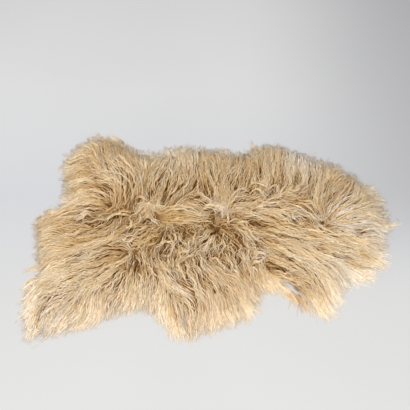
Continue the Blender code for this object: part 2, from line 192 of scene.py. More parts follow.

# Locks laid one by one on the others, each with its style and its route from root to tip
LAID_COLUMNS = ("where", "style", "route")
LAID_TABLE = (
    ("far hind whorl", "strand",
     ((-229, 35), (-225, 62), (-229, 93), (-244, 115), (-269, 123), (-300, 128))),
    ("far hind whorl", "strand",
     ((-215, 28), (-206, 59), (-208, 92), (-224, 123), (-249, 140), (-281, 149), (-313, 157))),
    ("far hind whorl", "strand",
     ((-199, 42), (-194, 73), (-203, 110), (-218, 140), (-240, 161), (-269, 175))),
    ("far hind whorl", "golden",
     ((-241, 51), (-238, 72), (-250, 95), (-271, 107), (-299, 112), (-326, 114))),
    ("far hind whorl", "strand",
     ((-182, 40), (-180, 76), (-186, 120), (-199, 156), (-216, 194))),
    ("far hind whorl", "smooth",
     ((-261, 59), (-288, 68), (-319, 72), (-354, 84), (-382, 88))),
    ("far hind whorl", "smooth",
     ((-264, 45), (-291, 49), (-320, 46), (-350, 43), (-374, 36))),
    ("far hind whorl", "strand",
     ((-266, 31), (-292, 31), (-317, 24), (-349, 18))),
    ("far hind whorl", "golden",
     ((-263, 84), (-290, 90), (-321, 97), (-356, 107), (-392, 116))),
    ("far hind whorl", "strand",
     ((-267, 98), (-298, 111), (-335, 124), (-376, 143), (-402, 142))),
    ("loops by the whorl", "loop",
     ((-199, 42), (-196, 61), (-183, 63), (-175, 47), (-184, 28), (-201, 26))),
    ("loops by the whorl", "loop",
     ((-172, 47), (-159, 51), (-148, 38), (-154, 15), (-163, 8))),
    ("rump", "strand",
     ((-191, 25), (-218, 23), (-243, 12), (-268, -7), (-285, -28))),
    ("rump", "strand",
     ((-203, 10), (-230, 10), (-256, 2), (-273, -16))),
    ("rump", "golden",
     ((-215, -14), (-223, -36), (-238, -58), (-256, -73), (-281, -83))),
    ("rump", "loop",
     ((-190, 9), (-202, -7), (-211, -30), (-219, -51))),
    ("rump", "loop",
     ((-171, 23), (-180, 5), (-189, -14), (-200, -37))),
    ("rump tuft", "pale",
     ((-298, 8), (-321, 6), (-336, -5), (-342, -16))),
    ("rump", "strand",
     ((-285, -28), (-317, -39), (-348, -52), (-382, -56), (-418, -53))),
    ("rump", "golden",
     ((-271, -45), (-301, -65), (-334, -70), (-367, -66), (-404, -50))),
    ("rump", "strand",
     ((-250, -63), (-275, -79), (-299, -91), (-327, -104), (-356, -108))),
    ("near hind whorl", "smooth",
     ((-210, -87), (-231, -81), (-255, -88), (-282, -101), (-309, -116), (-334, -125))),
    ("near hind whorl", "smooth",
     ((-209, -94), (-236, -96), (-260, -103), (-287, -116), (-314, -130), (-343, -135))),
    ("near hind whorl", "golden",
     ((-210, -101), (-235, -111), (-262, -121), (-289, -133), (-320, -143), (-351, -148))),
    ("near hind leg", "smooth",
     ((-213, -114), (-237, -124), (-263, -143), (-287, -164), (-310, -179), (-333, -199))),
    ("near hind leg", "smooth",
     ((-209, -121), (-229, -141), (-250, -162), (-273, -184), (-297, -208), (-315, -228))),
    ("near hind leg", "strand",
     ((-202, -125), (-213, -151), (-231, -174), (-245, -196), (-261, -217))),
    ("near flank", "strand",
     ((-190, -121), (-198, -150), (-206, -175), (-215, -196), (-221, -217))),
    ("back", "golden",
     ((-129, -24), (-155, -37), (-177, -57), (-193, -73), (-205, -90))),
    ("back", "golden",
     ((-122, -36), (-144, -57), (-170, -69), (-189, -84), (-201, -101))),
    ("back", "strand",
     ((-139, -16), (-168, -29), (-194, -47), (-219, -60), (-237, -75))),
    ("back", "golden",
     ((-163, -13), (-189, -20), (-214, -32), (-232, -51))),
    ("back", "golden",
     ((-126, -40), (-134, -65), (-153, -78), (-176, -86), (-194, -105))),
    ("swept lock's root", "pale strand",
     ((-162, 11), (-149, -9), (-132, -24))),
    ("swept lock", "sheaf",
     ((-152, 17), (-127, 20), (-98, 22), (-68, 22), (-42, 16), (-19, 9))),
    ("swept lock", "sheaf",
     ((-152, 14), (-124, 11), (-94, 13), (-65, 11), (-38, 5), (-9, 5))),
    ("swept lock", "golden sheaf",
     ((-152, 11), (-123, 2), (-91, 0), (-58, -1), (-29, -1), (-2, 7))),
    ("swept lock", "golden sheaf",
     ((-148, 6), (-120, -8), (-87, -12), (-55, -13), (-25, -9), (1, -2))),
    ("swept lock", "golden",
     ((-147, 4), (-123, -16), (-94, -22), (-61, -20), (-32, -14))),
    ("far flank", "strand",
     ((-156, 73), (-151, 109), (-143, 144), (-138, 182))),
    ("far flank", "golden",
     ((-177, 86), (-176, 121), (-168, 162), (-168, 203))),
    ("far flank", "strand",
     ((-128, 37), (-113, 64), (-93, 92), (-73, 124))),
    ("far flank", "golden",
     ((-118, 23), (-98, 43), (-82, 67), (-69, 91))),
    ("far flank", "strand",
     ((-79, 51), (-76, 86), (-66, 114), (-63, 142))),
    ("far flank", "golden",
     ((-15, 85), (-19, 117), (-29, 156), (-36, 202))),
    ("far flank", "strand",
     ((2, 89), (9, 120), (16, 157), (17, 196))),
    ("pale tuft", "pale",
     ((-51, 74), (-32, 68), (-15, 54), (1, 32))),
    ("pale tuft", "pale",
     ((-32, 39), (-12, 33), (8, 23), (21, 8))),
    ("pale tuft", "pale",
     ((-13, 47), (7, 40), (20, 22), (30, 1))),
    ("pale tuft", "pale",
     ((10, 39), (27, 37), (33, 20), (38, 3))),
    ("pale tuft", "pale strand",
     ((36, 34), (43, 15), (39, -1), (42, -22))),
    ("curls of the back", "loop",
     ((-77, -29), (-80, -57), (-70, -80), (-57, -88))),
    ("curls of the back", "loop",
     ((-97, -30), (-93, -57), (-98, -79), (-111, -92))),
    ("curls of the back", "loop",
     ((-122, -38), (-118, -64), (-127, -81), (-140, -90), (-146, -107))),
    ("curls of the back", "loop",
     ((-143, -97), (-137, -83), (-121, -76), (-105, -79), (-98, -95), (-111, -109), (-133, -111))),
    ("curls of the back", "loop",
     ((-91, -114), (-76, -105), (-60, -103), (-54, -88))),
    ("curls of the back", "loop",
     ((-88, -128), (-72, -123), (-57, -118), (-44, -107))),
    ("curls of the back", "loop",
     ((-58, -32), (-45, -52), (-48, -76), (-60, -96))),
    ("pale sheaf", "sheaf",
     ((7, -19), (-12, -49), (-28, -72), (-41, -88))),
    ("pale sheaf", "sheaf",
     ((14, -37), (-6, -74), (-19, -99), (-28, -107))),
    ("tuft strands", "strand",
     ((3, -41), (-7, -65), (-17, -86), (-29, -103))),
    ("tuft strands", "strand",
     ((9, -51), (3, -77), (-4, -96), (-17, -112))),
    ("tuft strands", "strand",
     ((21, -51), (20, -73), (10, -92), (2, -103))),
    ("tuft strands", "strand",
     ((25, -52), (28, -77), (25, -95), (12, -109))),
    ("tuft strands", "strand",
     ((0, -23), (-13, -39), (-26, -58), (-42, -67))),
    ("brown lock", "brown",
     ((26, -24), (42, -44), (53, -65), (60, -88))),
    ("behind the tuft", "strand",
     ((46, -21), (71, -41), (90, -64), (95, -87))),
    ("behind the tuft", "strand",
     ((62, -23), (84, -37), (102, -64), (118, -77))),
    ("near flank", "loop",
     ((-164, -131), (-147, -153), (-131, -171))),
    ("near flank", "strand",
     ((-138, -139), (-119, -146), (-103, -163), (-90, -179))),
    ("near flank", "loop",
     ((-103, -137), (-88, -148), (-72, -166), (-68, -185))),
    ("near flank", "strand",
     ((-63, -131), (-47, -145), (-31, -162), (-16, -179))),
    ("near flank", "strand",
     ((-75, -149), (-56, -167), (-43, -190), (-37, -210))),
    ("near flank", "loop",
     ((-182, -144), (-175, -166), (-162, -181))),
    ("near flank", "strand",
     ((-121, -188), (-112, -210), (-109, -229))),
    ("near flank", "strand",
     ((-56, -189), (-40, -210), (-31, -230))),
    ("near flank", "strand",
     ((-26, -151), (-7, -166), (14, -182), (30, -202))),
    ("near flank", "loop",
     ((-13, -116), (5, -120), (21, -135), (27, -155))),
    ("near flank", "loop",
     ((15, -109), (34, -118), (43, -138), (37, -158))),
    ("near flank tuft", "pale",
     ((93, -112), (107, -103), (124, -97), (135, -107))),
    ("near flank tuft", "pale",
     ((89, -126), (104, -118), (120, -114), (127, -120))),
    ("near flank tuft", "pale strand",
     ((92, -132), (100, -139), (110, -142))),
    ("near flank", "loop",
     ((73, -74), (66, -94), (59, -107), (65, -120))),
    ("shoulder ridge", "pale strand",
     ((100, 33), (126, 37), (152, 36), (178, 30))),
    ("shoulder ridge", "strand",
     ((79, 18), (106, 28), (133, 32), (162, 28))),
    ("shoulder ridge", "loop",
     ((178, 20), (197, 13), (202, -11), (221, -19))),
    ("shoulder ridge", "strand",
     ((173, 42), (199, 37), (225, 22), (247, 5), (262, -13))),
    ("shoulder ridge", "strand",
     ((199, 45), (229, 39), (248, 22), (264, 6), (276, -9))),
    ("shoulder ridge", "strand",
     ((214, 58), (244, 48), (263, 33), (275, 13), (281, -8))),
    ("shoulder ridge", "golden",
     ((151, 2), (169, -17), (195, -25), (221, -26), (247, -25))),
    ("shoulder ridge", "loop",
     ((135, 74), (149, 91), (164, 89), (167, 66), (157, 58))),
    ("shoulder ridge", "loop",
     ((82, 99), (103, 107), (126, 102), (142, 82), (150, 59))),
    ("shoulder ridge", "loop",
     ((88, 72), (108, 80), (128, 70), (137, 52))),
    ("shoulder", "golden",
     ((99, 10), (124, -13), (155, -32), (193, -48), (232, -54))),
    ("shoulder", "strand",
     ((105, -13), (136, -38), (173, -52), (212, -62), (250, -65))),
    ("shoulder", "strand",
     ((107, -44), (134, -70), (166, -88), (196, -109), (227, -120), (259, -125))),
    ("shoulder", "strand",
     ((122, -63), (153, -87), (184, -108), (214, -127), (238, -140), (259, -160))),
    ("shoulder", "strand",
     ((192, -56), (231, -62), (273, -70), (315, -76), (354, -81))),
    ("neck", "strand",
     ((213, -41), (251, -51), (294, -50), (337, -49), (378, -41))),
    ("near shoulder", "strand",
     ((140, -102), (171, -118), (201, -136), (225, -158), (249, -179))),
    ("neck", "strand",
     ((248, -89), (287, -96), (326, -101), (371, -105))),
    ("neck parting", "smooth",
     ((283, -8), (314, 0), (347, 12), (387, 31), (433, 72))),
    ("neck parting", "smooth",
     ((284, 2), (309, 20), (336, 35), (370, 59), (412, 103))),
    ("neck parting", "golden",
     ((284, 11), (288, 40), (294, 70), (307, 101), (334, 136))),
    ("neck parting", "strand",
     ((279, 10), (270, 35), (261, 57), (254, 86))),
    ("neck parting", "smooth",
     ((285, -17), (321, -13), (358, -10), (397, 0), (439, 22))),
    ("neck parting", "strand",
     ((265, 15), (257, 43), (263, 78), (271, 120))),
    ("neck parting", "strand",
     ((300, 32), (322, 60), (350, 102), (385, 152))),
)

# Where the tips of the wool reach to on the floor: a smooth closed curve runs through these places
RIM_COLUMNS = ("where", "along", "across")
RIM_TABLE = (
    ("far hind leg", -335, 320),
    ("far hind leg", -285, 305),
    ("far hind leg", -225, 275),
    ("notch before the far hind leg", -185, 250),
    ("far flank", -140, 270),
    ("far flank", -70, 280),
    ("far flank", 0, 270),
    ("notch behind the far foreleg", 75, 255),
    ("far foreleg", 125, 275),
    ("far foreleg", 160, 285),
    ("far foreleg", 225, 265),
    ("far shoulder", 285, 235),
    ("far shoulder", 350, 210),
    ("neck", 400, 160),
    ("neck", 450, 120),
    ("neck", 460, 50),
    ("neck", 465, 10),
    ("neck", 445, -55),
    ("neck", 440, -115),
    ("near shoulder", 410, -145),
    ("near shoulder", 350, -170),
    ("near foreleg", 320, -195),
    ("near foreleg", 305, -235),
    ("near foreleg", 260, -262),
    ("near foreleg", 220, -238),
    ("notch behind the near foreleg", 165, -195),
    ("near flank", 120, -210),
    ("near flank", 98, -260),
    ("near flank", 35, -280),
    ("belly tuft", -20, -297),
    ("belly tuft", -60, -325),
    ("belly tuft", -98, -305),
    ("belly tuft", -120, -268),
    ("notch before the near hind leg", -170, -240),
    ("near hind leg", -240, -258),
    ("near hind leg", -335, -294),
    ("near hind leg", -400, -300),
    ("near hind leg", -440, -318),
    ("near hind leg", -455, -262),
    ("near hind leg", -462, -190),
    ("notch of the rump", -435, -130),
    ("rump", -453, -70),
    ("rump", -465, 0),
    ("rump", -460, 38),
    ("notch behind the far hind leg", -408, 78),
    ("far hind leg", -406, 125),
    ("far hind leg", -412, 175),
    ("far hind leg", -416, 235),
    ("far hind leg", -375, 283),
)

# Where the wool is tangled and curly rather than combed
TANGLE_COLUMNS = ("where", "along", "across", "half_length", "half_width", "strength")
TANGLE_TABLE = (
    ("back", -110, -20, 110, 70, 0.75),
    ("between the whorls", -196, 20, 60, 40, 0.8),
    ("behind the shoulder", 30, -60, 130, 75, 1.0),
    ("over the near flank", 100, -110, 70, 60, 0.9),
    ("shoulder ridge", 150, 75, 90, 40, 0.8),
)

# Where the wool is paler or darker, and more golden or more like oats, than elsewhere. Paler or darker is
# partly the wool's own tone and partly painted light and shade, such as the darker hollow of the far hind
# whorl and the paler far flank and shoulder, which lean away from the key light
TONE_COLUMNS = ("where", "along", "across", "radius", "lighter", "golden")
TONE_TABLE = (
    ("edge of the rump", -445, 27, 45, -0.5, 0.0),
    ("rump", -332, -43, 50, -0.22, 0.1),
    ("far hind leg", -354, 162, 55, -0.18, -0.1),
    ("far hind whorl", -251, 33, 40, -0.4, 0.6),
    ("back", -134, -13, 60, 0.0, 0.45),
    ("swept lock", -46, 27, 50, -0.15, 0.4),
    ("crown", 30, -43, 50, 0.0, 0.6),
    ("near flank", 37, -197, 50, -0.25, 0.0),
    ("notch before the near foreleg", 204, -203, 40, -0.45, 0.0),
    ("far flank", -115, 204, 65, 0.38, -0.15),
    ("far shoulder", 236, 197, 60, 0.32, -0.7),
    ("neck", 349, 17, 70, 0.08, -0.6),
    ("edge of the neck", 429, -43, 40, 0.25, -0.5),
    ("near hind leg", -407, -224, 70, 0.18, -0.3),
    ("loin", -52, -110, 40, 0.15, 0.1),
    ("behind the shoulder", 130, -43, 45, -0.08, 0.3),
    ("near shoulder", 306, -138, 50, 0.08, -0.45),
)


def seeded(number):
    """A random source of its own for each use, the same each run."""
    return np.random.default_rng(SEED + number)


def rows_of(columns, table):
    """Each row of a table, as a dictionary under its column names."""
    return [dict(zip(columns, row)) for row in table]


def place_of(row):
    """A table row's place, in metres."""
    return np.array([row["along"], row["across"]]) * MM


def linear(code, alpha=1.0):
    """An sRGB hex colour as the linear colour that the shaders take."""
    channels = [int(code[i : i + 2], 16) / 255 for i in (1, 3, 5)]
    return (*(c / 12.92 if c <= 0.04045 else ((c + 0.055) / 1.055) ** 2.4 for c in channels), alpha)


ROUTE_STEPS = 12  # points worked out between two places of a route


def along_route(route, points):
    """A smooth line through a route's places, as a number of points at even steps."""
    places = np.array(route) * MM
    ends = np.concatenate([2 * places[:1] - places[1:2], places, 2 * places[-1:] - places[-2:-1]])
    found = []
    for k in range(len(places) - 1):
        a, b, c, d = ends[k : k + 4]
        for t in np.linspace(0, 1, ROUTE_STEPS, endpoint=False):
            found.append(0.5 * (2 * b + (c - a) * t + (2 * a - 5 * b + 4 * c - d) * t**2
                                + (3 * b - a - 3 * c + d) * t**3))
    found = np.array(found + [places[-1]])
    far = np.concatenate([[0], np.cumsum(np.linalg.norm(np.diff(found, axis=0), axis=1))])
    even = np.linspace(0, far[-1], points)
    return np.stack([np.interp(even, far, found[:, k]) for k in (0, 1)], 1)


# The pile's height, read off the solid fleece


class PileMap:
    """The fleece's height over the floor, and how far inside its rim a place is, on a square grid."""

    STEP = 0.005  # between two grid points
    MARGIN = 0.060  # of grid round the fleece
    BLUR = 0.009  # spread that smooths the solid's facets away
    RIM_STEPS = 160  # points round the rim's curve
    LAID_STEPS = 12  # points along a lock laid one by one

    def __init__(self, fleece, hide):
        low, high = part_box(fleece)
        self.origin = np.array([low.x, low.y]) - self.MARGIN
        self.count = np.ceil((np.array([high.x - low.x, high.y - low.y]) + 2 * self.MARGIN) / self.STEP)
        self.count = self.count.astype(int) + 1
        drop = self.dropped_onto(fleece)
        self.height = self.blurred(drop, self.BLUR)
        self.cover = self.blurred(drop > 0, self.BLUR)
        self.inside = self.inside_rim()
        self.skin = self.blurred(self.dropped_onto(hide) > 0, self.STEP)
        self.laid = self.blurred(self.under_laid_locks(), self.STEP)

    def dropped_onto(self, node):
        """The height of a node's top under each grid point, or nothing where it isn't there."""
        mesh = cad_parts[node].data
        points = [vertex.co for vertex in mesh.vertices]
        tree = BVHTree.FromPolygons(points, [tuple(face.vertices) for face in mesh.polygons])
        found = np.zeros(self.count[::-1])
        for row in range(self.count[1]):
            for column in range(self.count[0]):
                x, y = self.origin + np.array([column, row]) * self.STEP
                hit = tree.ray_cast(Vector((x, y, 1.0)), Vector((0.0, 0.0, -1.0)))[0]
                if hit is not None:
                    found[row, column] = hit.z
        return found

    def inside_rim(self):
        """How far inside the wool's outline each grid point is, less than nothing outside it."""
        rows, columns = np.indices(self.count[::-1])
        spots = (self.origin + np.stack([columns, rows], -1) * self.STEP).reshape(-1, 2)
        places = [(row["along"], row["across"]) for row in rows_of(RIM_COLUMNS, RIM_TABLE)]
        corners = along_route(places + places[:1], self.RIM_STEPS + 1)[:-1]
        nearest = np.full(len(spots), np.inf)
        within = np.zeros(len(spots), bool)
        for a, b in zip(corners, np.roll(corners, -1, axis=0)):
            share = np.clip((spots - a) @ (b - a) / ((b - a) @ (b - a)), 0, 1)
            nearest = np.minimum(nearest, np.linalg.norm(spots - a - share[:, None] * (b - a), axis=1))
            if a[1] != b[1]:
                crossing = a[0] + (spots[:, 1] - a[1]) * (b[0] - a[0]) / (b[1] - a[1])
                within ^= ((a[1] > spots[:, 1]) != (b[1] > spots[:, 1])) & (spots[:, 0] < crossing)
        return np.where(within, nearest, -nearest).reshape(rows.shape)

    def under_laid_locks(self):
        """1 at the grid points that lie under a lock laid one by one, else 0."""
        under = np.zeros(self.count[::-1])
        rows, columns = np.indices(under.shape)
        spots = self.origin + np.stack([columns, rows], -1) * self.STEP
        for row in rows_of(LAID_COLUMNS, LAID_TABLE):
            for place in along_route(row["route"], self.LAID_STEPS)[1:]:
                under[np.linalg.norm(spots - place, axis=2) < self.STEP] = 1
        return under

    def blurred(self, grid, spread):
        """The grid smoothed over a distance."""
        reach = int(3 * spread / self.STEP) + 1
        kernel = np.exp(-((np.arange(-reach, reach + 1) * self.STEP / spread) ** 2) / 2)
        kernel /= kernel.sum()
        for axis in (0, 1):
            grid = np.apply_along_axis(np.convolve, axis, grid, kernel, "same")
        return grid

    def read(self, grid, places):
        """The grid's values at places, between its points."""
        spots = (places[..., :2] - self.origin) / self.STEP
        spots = np.clip(spots, 0, self.count - 1.001)
        low = spots.astype(int)
        share = spots - low
        x, y = low[..., 0], low[..., 1]
        near = grid[y, x] * (1 - share[..., 0]) + grid[y, x + 1] * share[..., 0]
        far = grid[y + 1, x] * (1 - share[..., 0]) + grid[y + 1, x + 1] * share[..., 0]
        return near * (1 - share[..., 1]) + far * share[..., 1]


PILE = PileMap("fleece", "hide")


# The way the wool lies


COMBED_STYLES = ("smooth", "sheaf", "golden sheaf", "strand", "golden")
COMB_SPREAD = 0.040  # how far a row of the comb's table reaches
FAINT = 1e-6  # pull of the table's rows on wool that none of them reaches
NEARBY = 1e-4  # added to a squared distance, so that the pull stays finite
LAID_SPREAD = 0.016  # how far a lock laid one by one combs the wool beside it
LAID_SAMPLES = 6  # points along such a lock


class Comb:
    """Samples of how the wool lies: the comb's table, and finer ones along the locks laid one by one."""

    def __init__(self):
        comb = rows_of(COMB_COLUMNS, COMB_TABLE)
        turns = np.radians([row["heading"] for row in comb])
        spots = [np.array([place_of(row) for row in comb])]
        leans = [np.stack([np.cos(turns), np.sin(turns)], 1)]
        spreads = [np.full(len(comb), COMB_SPREAD)]
        for row in rows_of(LAID_COLUMNS, LAID_TABLE):
            if row["style"] not in COMBED_STYLES:
                continue
            line = along_route(row["route"], LAID_SAMPLES)
            lean = np.diff(line, axis=0)
            spots.append((line[1:] + line[:-1]) / 2)
            leans.append(lean / np.linalg.norm(lean, axis=1, keepdims=True))
            spreads.append(np.full(LAID_SAMPLES - 1, LAID_SPREAD))
        self.spots, self.leans, self.spreads = (np.concatenate(part) for part in (spots, leans, spreads))

    def lean(self, places):
        """The mean lean of the samples near each place."""
        away = ((places[:, None, :] - self.spots) ** 2).sum(2)
        weights = np.exp(-away / (2 * self.spreads**2))
        weights = weights + FAINT / (away + NEARBY) * (self.spreads == COMB_SPREAD)
        return weights @ self.leans / weights.sum(1, keepdims=True)


COMB = Comb()
SWIRL = 0.22  # radians that the wool strays from its combing
SWIRL_LENGTH = 0.110


def combed(places):
    """The unit direction in which the wool is combed at each place."""
    lean = COMB.lean(places)
    for row in rows_of(PARTING_COLUMNS, PARTING_TABLE):
        out = places - place_of(row)
        distance = np.linalg.norm(out, axis=1, keepdims=True) + 1e-6
        lean += row["strength"] * np.exp(-((distance / (row["radius"] * MM)) ** 2)) * out / distance
    lean /= np.linalg.norm(lean, axis=1, keepdims=True) + 1e-9
    return turned(lean, SWIRL * rippled(places, SWIRL_LENGTH, 1))


RIPPLES = 9  # waves that are added up


def rippled(places, length, number):
    """A smooth random value at each place, about -1 to 1, that changes over a length."""
    rng = seeded(100 + number)
    total = np.zeros(len(places))
    for _ in range(RIPPLES):
        turn, start = rng.uniform(0, math.tau, 2)
        run = math.tau / (length * rng.uniform(0.7, 1.5))
        total += np.sin(run * (places[:, 0] * math.cos(turn) + places[:, 1] * math.sin(turn)) + start)
    return total * math.sqrt(2 / RIPPLES)


def tangle(places):
    """How tangled the wool is at each place, from 0 to 1."""
    most = np.zeros(len(places))
    for row in rows_of(TANGLE_COLUMNS, TANGLE_TABLE):
        away = places - place_of(row)
        away /= np.array([row["half_length"], row["half_width"]]) * MM
        most = np.maximum(most, row["strength"] * np.exp(-(away**2).sum(1)))
    return most


def toned(places):
    """How much lighter, partly as painted light and shade, and how much more golden the wool is at each
    place.
    """
    lighter, golden = np.zeros(len(places)), np.zeros(len(places))
    for row in rows_of(TONE_COLUMNS, TONE_TABLE):
        away = np.linalg.norm(places - place_of(row), axis=1)
        near = np.exp(-((away / (row["radius"] * MM)) ** 2))
        lighter += row["lighter"] * near
        golden += row["golden"] * near
    return lighter, golden


def smooth_step(value, low, high):
    """0 below low, 1 above high, and an even curve between them."""
    share = np.clip((value - low) / (high - low), 0, 1)
    return share * share * (3 - 2 * share)


def turned(directions, angles):
    """Flat directions turned by angles in radians."""
    cos, sin = np.cos(angles), np.sin(angles)
    x, y = directions[..., 0], directions[..., 1]
    return np.stack([x * cos - y * sin, x * sin + y * cos], -1)


def nearest_parting(places):
    """How far each place is from the nearest parting's middle."""
    rows = rows_of(PARTING_COLUMNS, PARTING_TABLE)
    middles = np.array([place_of(row) for row in rows])
    return np.linalg.norm(places[:, None, :] - middles, axis=2).min(1)


MARCH_POINTS = 48  # points of a line while it is being followed
LINE_POINTS = 18  # points of a lock's middle line
COMB_PULL = 0.16  # share by which each step turns to the comb
BEND_SHARE = 0.9  # a line's steady bend, as a share of its first turn aside
BEND_LENGTH = 0.100
PARTING_CORE = 0.006  # radius round a parting's middle that holds no roots
CLEAR_TIP = 20  # points at the tip that may lie past the fleece's solid edge
SHORTEST = 0.045


def followed(starts, lengths, wander, way, rng):
    """Lines that follow the comb from their starts, or go back against it where way is -1.

    wander is how far each strays from the comb, in radians.
    """
    step = lengths / (MARCH_POINTS - 1)
    headings = turned(combed(starts) * way, rng.normal(0, 1, len(starts)) * wander)
    bends = rng.normal(0, 1, len(starts)) * wander * BEND_SHARE
    lines = [starts]
    for _ in range(MARCH_POINTS - 1):
        headings = headings * (1 - COMB_PULL) + combed(lines[-1]) * way * COMB_PULL
        headings = turned(headings, bends * step / BEND_LENGTH)
        headings /= np.linalg.norm(headings, axis=1, keepdims=True) + 1e-9
        lines.append(lines[-1] + headings * step[:, None])
    return np.stack(lines, 1)


def lines_from_roots(roots, lengths, wander, rim, rng):
    """The flat middle line of each lock that is combed out from its root and ends this far inside the rim."""
    lines = followed(roots, lengths, wander, 1.0, rng)
    inside = PILE.read(PILE.inside, lines) > rim[:, None]
    kept = np.where(inside.all(1), MARCH_POINTS - 1, np.argmin(inside, 1)).clip(1)
    return resampled(lines, kept, LINE_POINTS)


def lines_to_tips(tips, lengths, wander, rng):
    """The flat middle line of each lock that ends at its tip, and starts at a parting at the furthest.

    Lines that come out too short are left out.
    """
    lines = followed(tips, lengths, wander, -1.0, rng)
    spots = lines.reshape(-1, 2)
    clear = (nearest_parting(spots) > PARTING_CORE).reshape(lines.shape[:2])
    covered = (PILE.read(PILE.cover, spots) > 0.5).reshape(lines.shape[:2])
    clear &= covered | (np.arange(MARCH_POINTS) < CLEAR_TIP)
    kept = np.where(clear.all(1), MARCH_POINTS - 1, np.argmin(clear, 1)).clip(1)
    long = kept * lengths / MARCH_POINTS > SHORTEST
    return resampled(lines[long], kept[long], LINE_POINTS)[:, ::-1]


def redrawn(lines, count):
    """Each whole middle line again, at count even steps."""
    return resampled(lines, np.full(len(lines), LINE_POINTS - 1), count)


def resampled(lines, kept, count):
    """The first part of each line, up to its point number kept, at count even steps."""
    spots = np.linspace(0, 1, count) * kept[:, None]
    low = np.minimum(spots.astype(int), lines.shape[1] - 2)
    share = (spots - low)[..., None]
    rows = np.arange(len(lines))[:, None]
    return lines[rows, low] * (1 - share) + lines[rows, low + 1] * share


ROW_SHARE = 0.87  # rows lie closer than the places in a row, as in a honeycomb
UNEVEN = 0.45  # how far a place strays from its grid point, as a share of the spacing


def spread_places(spacing, rng):
    """Places all over the fleece, on an uneven grid."""
    low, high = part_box("fleece")
    xs = np.arange(low.x - spacing, high.x + spacing, spacing)
    ys = np.arange(low.y - spacing, high.y + spacing, spacing * ROW_SHARE)
    grid_x, grid_y = np.meshgrid(xs, ys)
    grid_x[1::2] += spacing / 2
    places = np.stack([grid_x.ravel(), grid_y.ravel()], 1)
    return places + rng.uniform(-UNEVEN, UNEVEN, places.shape) * spacing


class TuftCentres:
    """The places to which the tips of neighbouring locks draw together."""

    SPACING = 0.030
    REACH = 0.022  # a tip further from a tuft than this is left where it is

    def __init__(self):
        self.places = spread_places(self.SPACING, seeded(50))

    def toward(self, tips):
        """The flat step from each tip to its tuft, none where the nearest one is far off."""
        steps = self.places[None] - tips[:, None]
        distance = np.linalg.norm(steps, axis=2)
        nearest = distance.argmin(1)
        rows = np.arange(len(tips))
        return steps[rows, nearest] * (distance[rows, nearest] < self.REACH)[:, None]


TUFTS = TuftCentres()


class Strands:
    """Strands as lines of points with a radius at each, and a shade and a tint's number for each strand."""

    def __init__(self, lines, radii, shades, tints):
        self.lines, self.radii, self.shades, self.tints = lines, radii, shades, tints

    def chosen(self, mask):
        """The strands that a mask picks out."""
        return Strands(self.lines[mask], self.radii[mask], self.shades[mask], self.tints[mask])


LOCK_FLATNESS = 0.75  # a lock's depth as a share of its width
LOCK_BOW = 0.0035  # how far a lock strays from its line
CURL_BOW = 0.010  # how far a tangled one does, on top
GATHER_ROOT = 0.7  # a lock's width at the root, as a share
CRIMP_LENGTH = 0.034  # of one wave
CRIMP_STRAY = 0.40  # radians by which strands are out of step
CRIMP_SWING = 0.0016  # of a wave to each side
CRIMP_LIFT = 0.6  # its swing up and down, as a share
CURL_SWING = 1.9  # how much more a tangled lock swings
STRAY = 0.0035  # how far a strand's tip strays from its lock
CURL_STRAY = 0.008  # how far it does in a tangled lock, on top
STRAY_SHARE = 0.15  # share of the strands that stray further
STRAY_FURTHER = 2.2
STRAND_BOW = 0.0020  # up or down in the middle
PRESS = 0.30  # share of the pile's height lost under the locks laid on it
RISE_SHARE = 0.45  # share of a strand over which it rises to the pile's top
FULL_SWING_HEIGHT = 0.020  # pile lower than this swings less
ROOT_GIRTH = 0.6
TIP_GIRTH = 0.08
FLOOR_GAP = 0.0003


